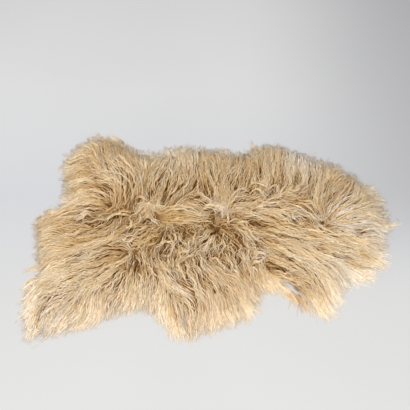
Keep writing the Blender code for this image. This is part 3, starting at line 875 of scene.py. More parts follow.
def strands_in_locks(lines, form, rng):
    """Fills each lock's middle line with strands that share its wave and gather at its tip.

    It gives the strands' lines, their radii, and the number of the lock that each strand is in.
    form holds for each lock, or as one value for all, its number of strands, width, girth, depth (the share
    of the pile that lies over it), loft, lift, curl, bow (how much it strays from its line), point (how much
    it narrows), tuft (how much it draws to its tuft), pressed (how much it gives way to the locks laid on
    it), rise (the share of the pile's height that it starts at) and taper.
    """
    locks, points = lines.shape[:2]
    form = {key: np.broadcast_to(value, (locks,)) for key, value in form.items()}
    share = np.linspace(0, 1, points)
    lengths = np.linalg.norm(np.diff(lines, axis=1), axis=2).sum(1)
    owner = np.repeat(np.arange(locks), form["strands"])
    count = len(owner)
    curl = form["curl"][owner][:, None]
    length = lengths[owner][:, None]

    bend = rng.normal(0, 1, locks) * LOCK_BOW
    bend = (bend + rng.normal(0, 1, locks) * form["curl"] * CURL_BOW) * form["bow"]
    turn = rng.uniform(0, math.tau, locks)
    turns = rng.uniform(0.6, 1.3, locks)
    swerve = bend[:, None] * np.sin(math.pi * share * 2 * turns[:, None] + turn[:, None]) * share
    swerve -= swerve[:, -1:] * share
    middle = lines + across_of(lines) * swerve[..., None]
    middle = middle[owner]
    side = across_of(middle)

    angle = rng.uniform(0, math.tau, count)
    out = np.sqrt(rng.uniform(0, 1, count))
    across = (out * np.cos(angle) * form["width"][owner])[:, None]
    over = (out * np.sin(angle) * form["width"][owner])[:, None] * LOCK_FLATNESS
    gather = GATHER_ROOT + (1 - GATHER_ROOT) * smooth_step(share, 0.0, 0.40)
    gather = gather * (1 - form["point"][owner][:, None] * smooth_step(share, 0.45, 1.0))

    wave_length = (CRIMP_LENGTH * rng.uniform(0.8, 1.3, locks) * (1 - 0.25 * form["curl"]))[owner][:, None]
    start = rng.uniform(0, math.tau, locks)[owner][:, None] + rng.normal(0, CRIMP_STRAY, count)[:, None]
    phase = share * length / wave_length * math.tau + start
    swing = CRIMP_SWING * (0.5 + rng.random(count)[:, None]) * (1 + CURL_SWING * curl)
    swing = swing * smooth_step(share, 0.0, 0.3)
    pull = (TUFTS.toward(lines[:, -1]) * form["tuft"][:, None])[owner]
    middle = middle + pull[:, None, :] * smooth_step(share, 0.25, 1.0)[:, None]
    stray = rng.normal(0, 1, count)[:, None] * (STRAY + CURL_STRAY * curl) * share**2.5
    stray = np.where(rng.random(count)[:, None] < STRAY_SHARE, stray * STRAY_FURTHER, stray)
    sideways = across * gather + swing * np.sin(phase) + stray
    flat = middle + side * sideways[..., None]

    height = PILE.read(PILE.height, flat)
    height = height * (1 - PRESS * form["pressed"][owner][:, None] * PILE.read(PILE.laid, flat))
    rise = form["rise"][owner][:, None]
    rise = rise + (1 - rise) * smooth_step(share, 0.0, RISE_SHARE)
    depth = 1 - form["depth"][owner][:, None] + form["loft"][owner][:, None] * share**2
    free = np.minimum(1.0, height / FULL_SWING_HEIGHT)
    raised = form["lift"][owner][:, None] * smooth_step(share, 0.0, 0.35)
    raised = raised * (1 - 0.5 * smooth_step(share, 0.7, 1.0))
    z = height * rise * depth + raised + free * (over * gather + swing * CRIMP_LIFT * np.cos(phase + 0.7))
    z = z + free * rng.normal(0, 1, count)[:, None] * STRAND_BOW * np.sin(math.pi * share)
    taper = ROOT_GIRTH + (1 - ROOT_GIRTH) * smooth_step(share, 0.0, 0.25)
    taper = taper * (1 - share ** form["taper"][owner][:, None]) + TIP_GIRTH
    radii = form["girth"][owner][:, None] * taper * rng.uniform(0.6, 1.25, count)[:, None]
    z = np.maximum(z, radii + FLOOR_GAP)
    return np.concatenate([flat, z[..., None]], 2), radii, owner


def across_of(lines):
    """The flat unit direction across each line, to its left, at each point."""
    heading = np.gradient(lines, axis=1)
    heading /= np.linalg.norm(heading, axis=2, keepdims=True) + 1e-9
    return np.stack([-heading[..., 1], heading[..., 0]], -1)


TINT_NAMES = ("golden", "cream", "peach", "oat")
TINTS = len(TINT_NAMES)
UV_EDGE = 0.01  # left free at both ends of a band of the map
UV_SIDE = 0.004  # the width of one side of a strand on it


def joined_strands(name, strands):
    """One mesh of closed three-sided tubes.

    Its map has a band of u for each tint, dark to pale in the band, and root to tip along v.
    """
    lines, radii = strands.lines, strands.radii
    count, points = lines.shape[:2]
    along = np.gradient(lines, axis=1)
    along /= np.linalg.norm(along, axis=2, keepdims=True) + 1e-12
    side = np.cross(along, np.array([0.0, 0.0, 1.0]))
    side /= np.linalg.norm(side, axis=2, keepdims=True) + 1e-12
    up = np.cross(side, along)
    corners = []
    for turn in np.radians([90, 210, 330]):
        corners.append(lines + (side * math.cos(turn) + up * math.sin(turn)) * radii[..., None])
    places = np.stack(corners, 2).reshape(-1, 3)

    ring = np.arange(points * 3).reshape(points, 3)
    quads = []
    for k in range(3):
        a, b = ring[:-1, k], ring[:-1, (k + 1) % 3]
        c, d = ring[1:, (k + 1) % 3], ring[1:, k]
        quads.append(np.stack([a, d, c, b], 1))
    quads = np.stack(quads, 1).reshape(-1, 4)
    caps = np.array([ring[0], ring[-1][::-1]])
    starts = (np.arange(count) * points * 3)[:, None, None]
    quad_corners = (quads[None] + starts).reshape(-1)
    cap_corners = (caps[None] + starts).reshape(-1)

    lowest = (strands.tints + UV_EDGE + strands.shades * (1 - 2 * UV_EDGE - 3 * UV_SIDE * TINTS)) / TINTS
    share = np.linspace(UV_EDGE, 1 - UV_EDGE, points)
    quad_uv = []
    for k in range(3):
        left = np.full(points - 1, k * UV_SIDE)
        right = left + UV_SIDE
        low, high = share[:-1], share[1:]
        pairs = ((left, low), (left, high), (right, high), (right, low))
        quad_uv.append(np.stack([np.stack(pair, 1) for pair in pairs], 1))
    quad_uv = np.stack(quad_uv, 1).reshape(1, -1, 2)
    cap_uv = np.array([
        [[0, share[0]], [3 * UV_SIDE, share[0]], [UV_SIDE, share[0] + UV_EDGE]],
        [[0, share[-1]], [3 * UV_SIDE, share[-1]], [UV_SIDE, share[-1] - UV_EDGE]],
    ]).reshape(1, -1, 2)
    shift = np.stack([lowest, np.zeros(count)], 1)[:, None, :]
    uv = np.concatenate([(quad_uv + shift).reshape(-1, 2), (cap_uv + shift).reshape(-1, 2)])

    mesh = bpy.data.meshes.new(name)
    mesh.vertices.add(len(places))
    mesh.vertices.foreach_set("co", places.astype(np.float32).ravel())
    all_corners = np.concatenate([quad_corners, cap_corners])
    sizes = np.concatenate([np.full(len(quad_corners) // 4, 4), np.full(len(cap_corners) // 3, 3)])
    mesh.loops.add(len(all_corners))
    mesh.loops.foreach_set("vertex_index", all_corners.astype(np.int32))
    mesh.polygons.add(len(sizes))
    mesh.polygons.foreach_set("loop_start", (np.cumsum(sizes) - sizes).astype(np.int32))
    mesh.update(calc_edges=True)
    layer = mesh.uv_layers.new(name=UV_MAP)
    layer.uv.foreach_set("vector", uv.astype(np.float32).ravel())
    mesh.shade_smooth()
    mesh.validate()
    piece = bpy.data.objects.new(name, mesh)
    bpy.context.scene.collection.objects.link(piece)
    return piece


# Materials


def add_node(tree, kind, inputs=None, **settings):
    """Adds a node, sets its settings, and links or sets its inputs by name or number."""
    node = tree.nodes.new(kind)
    for key, value in settings.items():
        setattr(node, key, value)
    for key, value in (inputs or {}).items():
        if isinstance(value, bpy.types.NodeSocket):
            tree.links.new(value, node.inputs[key])
        else:
            node.inputs[key].default_value = value
    return node


def new_material(name):
    """The node material of this name, with no nodes in it yet."""
    material = bpy.data.materials.get(name) or bpy.data.materials.new(name)
    material.use_nodes = True
    material.node_tree.nodes.clear()
    return material


def ramped(tree, value, *stops):
    """The colour that a ramp gives for a value. Each stop is a place and a colour."""
    ramp = add_node(tree, "ShaderNodeValToRGB", {0: value})
    elements = ramp.color_ramp.elements
    while len(elements) < len(stops):
        elements.new(1.0)
    for element, (place, colour) in zip(elements, stops):
        element.position = place
        element.color = colour
    return ramp.outputs[0]


def mixed(tree, share, first, second, blend="MIX"):
    """A share of the second colour blended with the first."""
    return add_node(
        tree, "ShaderNodeMix", {0: share, 6: first, 7: second}, data_type="RGBA", blend_type=blend
    ).outputs[2]


def ranged(tree, value, before, after, curve="LINEAR"):
    """A value stretched from one range, low and high, to another."""
    inputs = {"Value": value}
    inputs |= {"From Min": before[0], "From Max": before[1], "To Min": after[0], "To Max": after[1]}
    return add_node(tree, "ShaderNodeMapRange", inputs, interpolation_type=curve).outputs[0]


def calculated(tree, operation, *values):
    """The result of a calculation on one or two values."""
    return add_node(tree, "ShaderNodeMath", dict(enumerate(values)), operation=operation).outputs[0]


def noise(tree, place, scale, detail, distortion=0.0):
    """Soft noise over a surface."""
    return add_node(
        tree, "ShaderNodeTexNoise",
        {"Vector": place, "Scale": scale, "Detail": detail, "Distortion": distortion},
    ).outputs[0]


def stretched(tree, place, scale):
    """A place with each of its three parts scaled by a number of its own."""
    return add_node(tree, "ShaderNodeMapping", {"Vector": place, "Scale": scale}).outputs[0]


def bumped(tree, height, strength, depth):
    """The surface's direction over bumps of a depth in metres."""
    bump = add_node(tree, "ShaderNodeBump", {"Strength": strength, "Distance": depth, "Height": height})
    return bump.outputs[0]


def finish_material(material, inputs):
    """Ends a material with a Principled shader that takes the inputs."""
    tree = material.node_tree
    shader = add_node(tree, "ShaderNodeBsdfPrincipled", inputs)
    add_node(tree, "ShaderNodeOutputMaterial", {"Surface": shader.outputs[0]})
    return material


WHITE = linear("#FFFFFF")


def wool_material(settings):
    """Undyed long lamb's wool. Golden at the root, partly its own colour and partly painted shade deep in the
    pile, paler and drier towards the tip, with a soft gloss.

    The strand's map gives its tint and shade along u, and root to tip along v. The shade is partly painted
    shade of the pile's depth.
    """
    material = new_material("Undyed lamb wool")
    tree = material.node_tree
    place = add_node(tree, "ShaderNodeUVMap", uv_map=UV_MAP).outputs[0]
    parts = add_node(tree, "ShaderNodeSeparateXYZ", {0: place})
    banded = calculated(tree, "MULTIPLY", parts.outputs[0], float(TINTS))
    shade = calculated(tree, "FRACT", banded)
    coloured = None
    for number, tint in enumerate(TINT_NAMES):
        # Each tint darkens towards the root: partly the wool's own colour, partly painted shade of the roots
        # deep in the pile
        staple = ramped(
            tree, parts.outputs[1],
            (0.0, getattr(settings, tint + "_root")),
            (0.28, getattr(settings, tint + "_middle")),
            (0.75, getattr(settings, tint + "_tip")),
        )
        if coloured is None:
            coloured = staple
            continue
        past = calculated(tree, "GREATER_THAN", banded, float(number))
        coloured = mixed(tree, past, coloured, staple)
    # Painted shade and tone: the shade browns the locks that lie deep in the pile, standing in for the shade
    # between the locks, and it varies from lock to lock as the wool's own tone does
    shading = ramped(tree, shade, (0.0, linear("#946426")), (0.5, linear("#E0D2BA")), (1.0, WHITE))
    shaded_wool = mixed(tree, 1.0, coloured, shading, "MULTIPLY")
    # Flecks break the strand's colour and gloss along it, as fibres side by side do
    flecks = noise(tree, stretched(tree, place, (90.0, 14.0, 1.0)), 1.0, 3.0)
    flecking = ramped(tree, flecks, (0.30, linear("#E3D6C4")), (0.62, WHITE))
    # A fine grain keeps the gloss from running as one smooth line
    grain = noise(tree, stretched(tree, place, (400.0, 160.0, 1.0)), 1.0, 2.0)
    return finish_material(material, {
        "Base Color": mixed(tree, 1.0, shaded_wool, flecking, "MULTIPLY"),
        "Roughness": ranged(tree, flecks, (0.3, 0.7), (0.48, 0.66)),
        "Normal": bumped(tree, grain, 0.25, 0.0004),
        "IOR": 1.55,
        "Specular IOR Level": 0.18,
        "Subsurface Weight": 0.25,
        "Subsurface Radius": (1.0, 0.88, 0.72),
        "Subsurface Scale": 0.0015,
        "Sheen Weight": 0.05,
        "Sheen Roughness": 0.5,
    })


def underwool_material():
    """Short matted underwool at the roots: golden brown, darkened as painted shade of the gaps between the
    locks, and quite matt, seen only between the locks.
    """
    material = new_material("Matted underwool")
    tree = material.node_tree
    place = add_node(tree, "ShaderNodeTexCoord").outputs["Object"]
    # Matted wool in wisps about 5 mm wide and 11 mm long, which gives the gaps a soft, woolly floor
    fibres = noise(tree, stretched(tree, place, (220.0, 90.0, 200.0)), 1.0, 6.0, 1.2)
    # Painted shade: the fibres' browns are dark, standing in for the shade down between the locks
    fibre_colour_and_shade = ramped(
        tree, fibres, (0.32, linear("#4E3412")), (0.52, linear("#74521F")), (0.72, linear("#A07C44"))
    )
    # Patches about 35 mm across, some darker than others
    tufts = ramped(tree, noise(tree, place, 28.0, 3.0), (0.35, linear("#B9A080")), (0.65, WHITE))
    return finish_material(material, {
        "Base Color": mixed(tree, 1.0, fibre_colour_and_shade, tufts, "MULTIPLY"),
        "Roughness": ranged(tree, fibres, (0.3, 0.7), (0.95, 0.75)),
        "Normal": bumped(tree, fibres, 0.9, 0.004),
        "Specular IOR Level": 0.2,
    })


def suede_material():
    """The flesh side of a tanned skin: cream suede with cloudy patches, a short nap and faint veins."""
    material = new_material("Tanned suede")
    tree = material.node_tree
    place = add_node(tree, "ShaderNodeTexCoord").outputs["Object"]
    # Cloudy patches about 140 mm across, where the skin took up the tan unevenly
    clouds = ramped(
        tree, noise(tree, place, 7.0, 6.0, 0.6),
        (0.30, linear("#C9B28C")), (0.50, linear("#DCCBAB")), (0.72, linear("#E9DDC4")),
    )
    # A nap of about a millimetre makes it matt and soft to the eye
    nap = noise(tree, place, 900.0, 4.0)
    napped = mixed(tree, 1.0, clouds, ramped(tree, nap, (0.35, linear("#E2D8C8")), (0.65, WHITE)), "MULTIPLY")
    # Faint veins about 70 mm apart
    cells = {"Vector": place, "Scale": 14.0}
    edges = add_node(tree, "ShaderNodeTexVoronoi", cells, feature="DISTANCE_TO_EDGE").outputs[0]
    veins = ramped(tree, edges, (0.0, linear("#D9C8AC")), (0.06, WHITE))
    return finish_material(material, {
        "Base Color": mixed(tree, 0.6, napped, veins, "MULTIPLY"),
        "Roughness": ranged(tree, nap, (0.3, 0.7), (0.82, 0.96)),
        "Normal": bumped(tree, nap, 0.5, 0.0006),
        "Specular IOR Level": 0.25,
        "Sheen Weight": 0.3,
        "Sheen Roughness": 0.5,
    })


def floor_material(settings):
    """A matt painted studio floor, its grey changing from near to far, with painted shade in a band behind
    the lambskin and far to its right.
    """
    material = new_material("Painted studio floor")
    tree = material.node_tree
    place = add_node(tree, "ShaderNodeTexCoord").outputs["Object"]
    parts = add_node(tree, "ShaderNodeSeparateXYZ", {0: place})
    x, y = parts.outputs[0], parts.outputs[1]
    # Painted light and shade: the floor's grey changes from near to far, with a darker band behind the skin
    sweep = ramped(
        tree, ranged(tree, y, (-0.5, 1.0), (0.0, 1.0)),
        (0.0, settings.near_colour), (0.18, settings.near_colour), (0.40, settings.band_shade_colour),
        (0.66, settings.far_colour), (1.0, settings.far_colour),
    )
    # Painted shade: the floor is darker far to the right of the lambskin
    aside = ranged(tree, x, (0.05, 0.70), (0.0, 1.0), "SMOOTHSTEP")
    behind = ranged(tree, y, (-0.20, 0.15), (0.0, 1.0), "SMOOTHSTEP")
    dimmed = mixed(tree, calculated(tree, "MULTIPLY", aside, behind), sweep, settings.side_shade_colour)
    # The paint is very slightly uneven, so that the sweep isn't one flat tone
    mottle = ramped(tree, noise(tree, place, 1.3, 2.0), (0.3, linear("#FAFAFA")), (0.7, WHITE))
    return finish_material(material, {
        "Base Color": mixed(tree, 1.0, dimmed, mottle, "MULTIPLY"),
        "Roughness": 0.85,
        "Specular IOR Level": 0.2,
    })


# Settings a user would change


def colour_setting(name, description, code):
    """A colour that a user can pick. It starts as an sRGB code."""
    return bpy.props.FloatVectorProperty(
        name=name, description=description, subtype="COLOR", size=4, min=0.0, max=1.0, default=linear(code)
    )


def tint_setting(name, code):
    """The wool's colour at one part of the staple."""
    return colour_setting(name, "Colour of this part of the staple", code)


class LambskinWool(bpy.types.PropertyGroup):
    """The fleece's lengths, counts and colours."""

    staple: bpy.props.FloatProperty(
        name="Staple", description="Length of a full lock", default=0.125, unit="LENGTH"
    )
    lock_spacing: bpy.props.FloatProperty(
        name="Lock spacing", description="Distance that every kind of lock's spacing is a share of",
        default=0.0195, unit="LENGTH",
    )
    lock_width: bpy.props.FloatProperty(
        name="Lock width", description="Half the width of a lock", default=0.0092, unit="LENGTH"
    )
    strand_radius: bpy.props.FloatProperty(
        name="Strand radius", description="Radius of a strand at its thickest", default=0.00108, unit="LENGTH"
    )
    strands: bpy.props.IntProperty(name="Strands", description="Strands in a combed lock", default=6)
    curly_strands: bpy.props.IntProperty(
        name="Curly strands", description="Strands in a tangled lock of the back", default=9
    )
    rim_strands: bpy.props.IntProperty(name="Rim strands", description="Strands in each rim lock", default=6)
    wisp_strands: bpy.props.IntProperty(name="Wisp strands", description="Strands in each wisp", default=4)
    # The roots' colours are dark partly as painted shade deep in the pile
    golden_root: tint_setting("Golden root", "#70400A")
    golden_middle: tint_setting("Golden middle", "#D0AF74")
    golden_tip: tint_setting("Golden tip", "#EBD4A8")
    cream_root: tint_setting("Cream root", "#8F6224")
    cream_middle: tint_setting("Cream middle", "#DFC598")
    cream_tip: tint_setting("Cream tip", "#F4E8CF")
    peach_root: tint_setting("Peach root", "#987448")
    peach_middle: tint_setting("Peach middle", "#E5D0B0")
    peach_tip: tint_setting("Peach tip", "#F3E4CF")
    oat_root: tint_setting("Oat root", "#8A6D46")
    oat_middle: tint_setting("Oat middle", "#D9CCB6")
    oat_tip: tint_setting("Oat tip", "#EFE8DF")


class LambskinStage(bpy.types.PropertyGroup):
    """The floor's colours and the lights."""

    near_colour: colour_setting("Near", "Floor in front", "#A9A9A8")
    # Painted shade: the band and side colours darken the floor behind the skin and far to its right
    band_shade_colour: colour_setting("Band", "Floor behind the skin", "#A5A6A9")
    far_colour: colour_setting("Far", "Floor far behind", "#AFAFAF")
    side_shade_colour: colour_setting("Side", "Floor far to the right", "#929294")
    key_power: bpy.props.FloatProperty(
        name="Key", description="Power of the key light", default=345.0, unit="POWER"
    )
    sky: bpy.props.FloatProperty(name="Sky", description="Strength of the light all round", default=0.60)


def place_piece(piece, material, node):
    """Gives a finished piece its material, and sets it to move with the lambskin in a node's place."""
    piece.data.materials.clear()
    piece.data.materials.append(material)
    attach(piece, "root")
    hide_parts(node)


def place_wool(name, strands, settings):
    """Makes one piece of wool from strands."""
    place_piece(joined_strands(name, strands), wool_material(settings), "fleece")


REGIONS = ("rump", "far_flank", "near_flank", "shoulder", "neck")
RUMP_END = -0.215
FLANK_END = 0.020
SHOULDER_END = 0.215
BACK_LINE = -0.02  # where the near flank meets the far one


def region_of(roots):
    """The number of the region that each root lies in."""
    x, y = roots[:, 0], roots[:, 1]
    number = np.full(len(roots), REGIONS.index("neck"))
    number[x < SHOULDER_END] = REGIONS.index("shoulder")
    number[(x < FLANK_END) & (y >= BACK_LINE)] = REGIONS.index("far_flank")
    number[(x < FLANK_END) & (y < BACK_LINE)] = REGIONS.index("near_flank")
    number[x < RUMP_END] = REGIONS.index("rump")
    return number


SAME_PLACE = 0.00001  # corners closer than this are one
NEARLY_FLAT = 0.01  # radians between faces that count as one
LEVEL = 0.0001  # height between the ends of an edge that runs along the rim
EDGE_ROUNDING = 0.0005


class LAMBSKIN_OT_skin(bpy.types.Operator):
    """Models the tanned skin with its cut edge"""

    bl_idname = "lambskin.skin"
    bl_label = "Skin"

    def execute(self, context):
        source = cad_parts["hide"]
        piece = bpy.data.objects.new("tanned_skin", source.data.copy())
        context.scene.collection.objects.link(piece)
        bm = bmesh.new()
        bm.from_mesh(piece.data)
        bmesh.ops.remove_doubles(bm, verts=bm.verts, dist=SAME_PLACE)
        bmesh.ops.dissolve_limit(bm, angle_limit=NEARLY_FLAT, verts=bm.verts, edges=bm.edges)
        rims = [edge for edge in bm.edges if abs(edge.verts[0].co.z - edge.verts[1].co.z) < LEVEL]
        bmesh.ops.bevel(bm, geom=rims, offset=EDGE_ROUNDING, segments=2, affect="EDGES", profile=0.5)
        bmesh.ops.triangulate(bm, faces=[face for face in bm.faces if len(face.verts) > 4])
        bmesh.ops.recalc_face_normals(bm, faces=bm.faces)
        bm.to_mesh(piece.data)
        bm.free()
        place_piece(piece, suede_material(), "hide")
        return {"FINISHED"}


UNDERWOOL_STEP = 0.008
UNDERWOOL_SHARE = 0.66  # of the pile's height
UNDERWOOL_GAP = 0.0003  # over the skin
UNDERWOOL_ROUGHNESS = 0.0012
UNDERWOOL_LEAST = 0.001  # its height at the rim
POCKET_DEPTH = 0.55  # share of its height that it loses in a pocket
POCKET_SLOPE = 1.5  # how much wider the hollow is than the pocket


class LAMBSKIN_OT_underwool(bpy.types.Operator):
    """Models the dense short underwool that the locks rise from"""

    bl_idname = "lambskin.underwool"
    bl_label = "Underwool"

    def execute(self, context):
        rng = seeded(3)
        low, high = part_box("hide")
        base = high.z + UNDERWOOL_GAP
        xs = np.arange(low.x, high.x + UNDERWOOL_STEP, UNDERWOOL_STEP)
        ys = np.arange(low.y, high.y + UNDERWOOL_STEP, UNDERWOOL_STEP)
        grid = np.stack(np.meshgrid(xs, ys), -1)
        flat = grid.reshape(-1, 2)
        inside = (PILE.read(PILE.skin, flat) > 0.6).reshape(grid.shape[:2])
        height = PILE.read(PILE.height, flat) * UNDERWOOL_SHARE
        for row in rows_of(POCKET_COLUMNS, POCKET_TABLE):
            away = np.linalg.norm(flat - place_of(row), axis=1)
            height *= 1 - POCKET_DEPTH * np.exp(-((away / (POCKET_SLOPE * row["radius"] * MM)) ** 2))
        height = (height + rng.normal(0, UNDERWOOL_ROUGHNESS, len(flat))).reshape(grid.shape[:2])
        bm = bmesh.new()
        made = {}
        for j, i in np.ndindex(inside.shape[0] - 1, inside.shape[1] - 1):
            corners = ((j, i), (j, i + 1), (j + 1, i + 1), (j + 1, i))
            if not all(inside[corner] for corner in corners):
                continue
            for corner in corners:
                if corner not in made:
                    made[corner] = bm.verts.new((*grid[corner], base + max(UNDERWOOL_LEAST, height[corner])))
            bm.faces.new([made[corner] for corner in corners])
        rim = [vertex for vertex in bm.verts if vertex.is_boundary]
        for _ in range(3):
            bmesh.ops.smooth_vert(bm, verts=rim, factor=0.5, use_axis_x=True, use_axis_y=True)
        below = bmesh.ops.extrude_face_region(bm, geom=bm.faces[:])["geom"]
        for part in below:
            if isinstance(part, bmesh.types.BMVert):
                part.co.z = base
        bmesh.ops.recalc_face_normals(bm, faces=bm.faces)
        mesh = bpy.data.meshes.new("underwool")
        bm.to_mesh(mesh)
        bm.free()
        mesh.shade_smooth()
        piece = bpy.data.objects.new("underwool", mesh)
        context.scene.collection.objects.link(piece)
        place_piece(piece, underwool_material(), "fleece")
        return {"FINISHED"}


# Painted light: the wool is paler along the near rim, which faces the key light, and darker from the middle
# of the pelt on
NEAR_RIM = -0.24  # the palest, most even wool lies on this side of the pelt
REST_FROM = -0.06  # and from here on the wool is as uneven as anywhere
PALEST = 0.95
# Painted shade: deep locks are darkened as if shaded by the pile over them
PAINTED_DEPTH_SHADE = 1.7  # how much darker the roots' depth makes a lock
LOCK_UNEVEN = 0.17  # from lock to lock
STRAND_UNEVEN = 0.15  # and from strand to strand


def shaded(owner, depth, middles, rng):
    """A shade for each strand, 0 dark to 1 pale: each lock has its own, and the deep ones are darker as
    painted shade.

    The wool is more uneven in shade where it is tangled, and palest and most even along the near rim, where
    the paleness is painted light.
    """
    curl = tangle(middles)
    far = smooth_step(middles[:, 1], NEAR_RIM, REST_FROM)
    uneven = 0.42 + 0.40 * far + 0.40 * curl
    # Painted light: paler at the near rim, darker from the middle of the pelt on
    lock_shade = PALEST - 0.10 * far - 0.08 * curl
    lock_shade = lock_shade + (rng.normal(0, LOCK_UNEVEN, len(depth)) - PAINTED_DEPTH_SHADE * depth) * uneven
    # The tone table's lighter column: partly the wool's own tone, partly painted light and shade
    lock_shade += toned(middles)[0]
    return np.clip(lock_shade[owner] + rng.normal(0, STRAND_UNEVEN, len(owner)) * uneven[owner], 0, 1)


# Shares of the strands in each tint
GOLDEN_SHARE = 0.12
GOLDEN_IN_CURLS = 0.20
PEACH_SHARE = 0.10
# Painted light: more peach strands at the near rim stand in for light shining through the strands there
PEACH_GLOW_AT_NEAR_RIM = 0.55
OAT_STRENGTH = 1.4  # how fast they turn to oat where the tone's table is less golden


def tinted(paths, curl, rng):
    """The tint's number for each strand: golden over the back, peach at the near rim as painted glow of light
    through the strands, else oat or cream.
    """
    golden = toned(paths[:, paths.shape[1] // 2, :2])[1]
    nearness = smooth_step(-paths[:, -1, 1], 0.10, 0.30)
    draw = rng.random(len(paths))
    tints = np.full(len(paths), TINT_NAMES.index("cream"))
    tints[draw > 1 - (PEACH_SHARE + PEACH_GLOW_AT_NEAR_RIM * nearness)] = TINT_NAMES.index("peach")
    tints[draw > 1 + np.minimum(golden, 0) * OAT_STRENGTH] = TINT_NAMES.index("oat")
    tints[draw < GOLDEN_SHARE + GOLDEN_IN_CURLS * curl + golden] = TINT_NAMES.index("golden")
    return tints


# A plain combed lock, as strands_in_locks takes it. The other kinds say where they differ.
PLAIN_LOCK = {
    "depth": 0.0,
    "loft": 0.0,
    "lift": 0.0,
    "curl": 0.0,
    "bow": 1.0,
    "point": 0.2,
    "tuft": 0.0,
    "pressed": 1.0,
    "rise": 0.45,
    "taper": 2.0,
}
CURLY = 0.35  # tangle over which a lock counts as a curl of the back
COMBED_POINTS = 11
FILL_POINTS = 7
STRANDS_IN_POCKETS = 0.08  # share of the strands that still cross a pocket


class LAMBSKIN_OT_locks(bpy.types.Operator):
    """Combs out the long locks, a piece for each part of the pelt"""

    bl_idname = "lambskin.locks"
    bl_label = "Locks"

    def execute(self, context):
        wool = context.scene.lambskin_wool
        rng = seeded(1)
        roots = spread_places(wool.lock_spacing * 1.4, rng)
        roots = roots[PILE.read(PILE.skin, roots) > 0.5]
        curl = tangle(roots)
        lengths = wool.staple * rng.uniform(0.7, 1.1, len(roots)) * (1 - 0.2 * curl)
        ends = rng.uniform(0.006, 0.028, len(roots))
        from_roots = lines_from_roots(roots, lengths, wander=0.14 + 0.65 * curl, rim=ends, rng=rng)
        tips = spread_places(wool.lock_spacing * 1.25, rng)
        tips = tips[PILE.read(PILE.cover, tips) > 0.7]
        curl = tangle(tips)
        lengths = wool.staple * rng.uniform(0.7, 1.15, len(tips)) * (1 - 0.2 * curl)
        to_tips = lines_to_tips(tips, lengths, wander=0.10 + 0.55 * curl, rng=rng)
        lines = np.concatenate([from_roots, to_tips])
        lines = np.concatenate([lines, self.across_gaps(lines, wool, rng)])
        curly = tangle(lines[:, LINE_POINTS // 2]) > CURLY
        number = region_of(lines[:, LINE_POINTS // 2])
        for k, name in enumerate(REGIONS):
            self.grow(name + "_locks", lines[~curly & (number == k)], COMBED_POINTS, wool, rng)
        self.grow("back_curls", lines[curly], LINE_POINTS, wool, rng)
        self.fill(wool, rng)
        return {"FINISHED"}

    def across_gaps(self, lines, wool, rng):
        """Lines through the places that no line in the list passes near, away from the pockets."""
        passed = KDTree(lines.shape[0] * lines.shape[1])
        for number, spot in enumerate(lines.reshape(-1, 2)):
            passed.insert((*spot, 0.0), number)
        passed.balance()
        spots = spread_places(wool.lock_spacing * 0.6, rng)
        spots = spots[(PILE.read(PILE.cover, spots) > 0.7) & ~in_pockets(spots[:, None])]
        bare = [passed.find((*spot, 0.0))[2] > wool.lock_width for spot in spots]
        spots = spots[bare]
        lengths = wool.staple * rng.uniform(0.5, 0.8, len(spots))
        tips = followed(spots, lengths * 0.5, wander=0.1, way=1.0, rng=rng)[:, -1]
        return lines_to_tips(tips, lengths, wander=0.1, rng=rng)

    def fill(self, wool, rng):
        """Makes the thicker strands deep in the pile that close the gaps between the locks, darkened as
        painted shade of the pile over them.
        """
        roots = spread_places(wool.lock_spacing, rng)
        roots = roots[PILE.read(PILE.skin, roots) > 0.5]
        lengths = wool.staple * rng.uniform(0.6, 0.8, len(roots))
        ends = np.full(len(roots), 0.018)
        lines = redrawn(lines_from_roots(roots, lengths, wander=0.25, rim=ends, rng=rng), FILL_POINTS)
        form = PLAIN_LOCK | {
            "strands": 2,
            "width": wool.lock_width * 1.2,
            "girth": wool.strand_radius * 1.7,
            "depth": rng.uniform(0.20, 0.34, len(lines)),
            "curl": 0.3,
        }
        paths, radii, owner = strands_in_locks(lines, form, rng)
        # Painted shade: the deep strands are dark, as the pile over them shades them
        shades = np.clip(0.42 + rng.normal(0, 0.12, len(owner)), 0, 1)
        tints = np.full(len(owner), TINT_NAMES.index("golden"))
        place_wool("deep_wool", Strands(paths, radii, shades, tints), wool)

    def grow(self, name, lines, points, wool, rng):
        """Makes one piece of the locks along these lines."""
        count = len(lines)
        middles = lines[:, LINE_POINTS // 2]
        curl = tangle(middles)
        lines = redrawn(lines, points)
        form = PLAIN_LOCK | {
            "strands": np.round(wool.strands + (wool.curly_strands - wool.strands) * curl).astype(int),
            "width": wool.lock_width * rng.uniform(0.7, 1.3, count),
            "girth": wool.strand_radius * (1 - 0.25 * curl),
            "depth": (0.22 + 0.20 * curl) * rng.random(count) ** 1.3,
            "curl": curl,
            "point": rng.uniform(0.3, 0.7, count) + 0.2 * curl,
            "tuft": 0.40 + 0.3 * curl,
        }
        paths, radii, owner = strands_in_locks(lines, form, rng)
        shades = shaded(owner, form["depth"], middles, rng)
        strands = Strands(paths, radii, shades, tinted(paths, curl[owner], rng))
        kept = ~in_pockets(paths[:, 1:, :2]) | (rng.random(len(owner)) < STRANDS_IN_POCKETS)
        place_wool(name, strands.chosen(kept), wool)


def in_pockets(lines):
    """True for each line that crosses one of the pockets."""
    crossed = np.zeros(len(lines), bool)
    for row in rows_of(POCKET_COLUMNS, POCKET_TABLE):
        away = np.linalg.norm(lines - place_of(row), axis=2)
        crossed |= away.min(1) < row["radius"] * MM
    return crossed


LAID_POINTS = 16


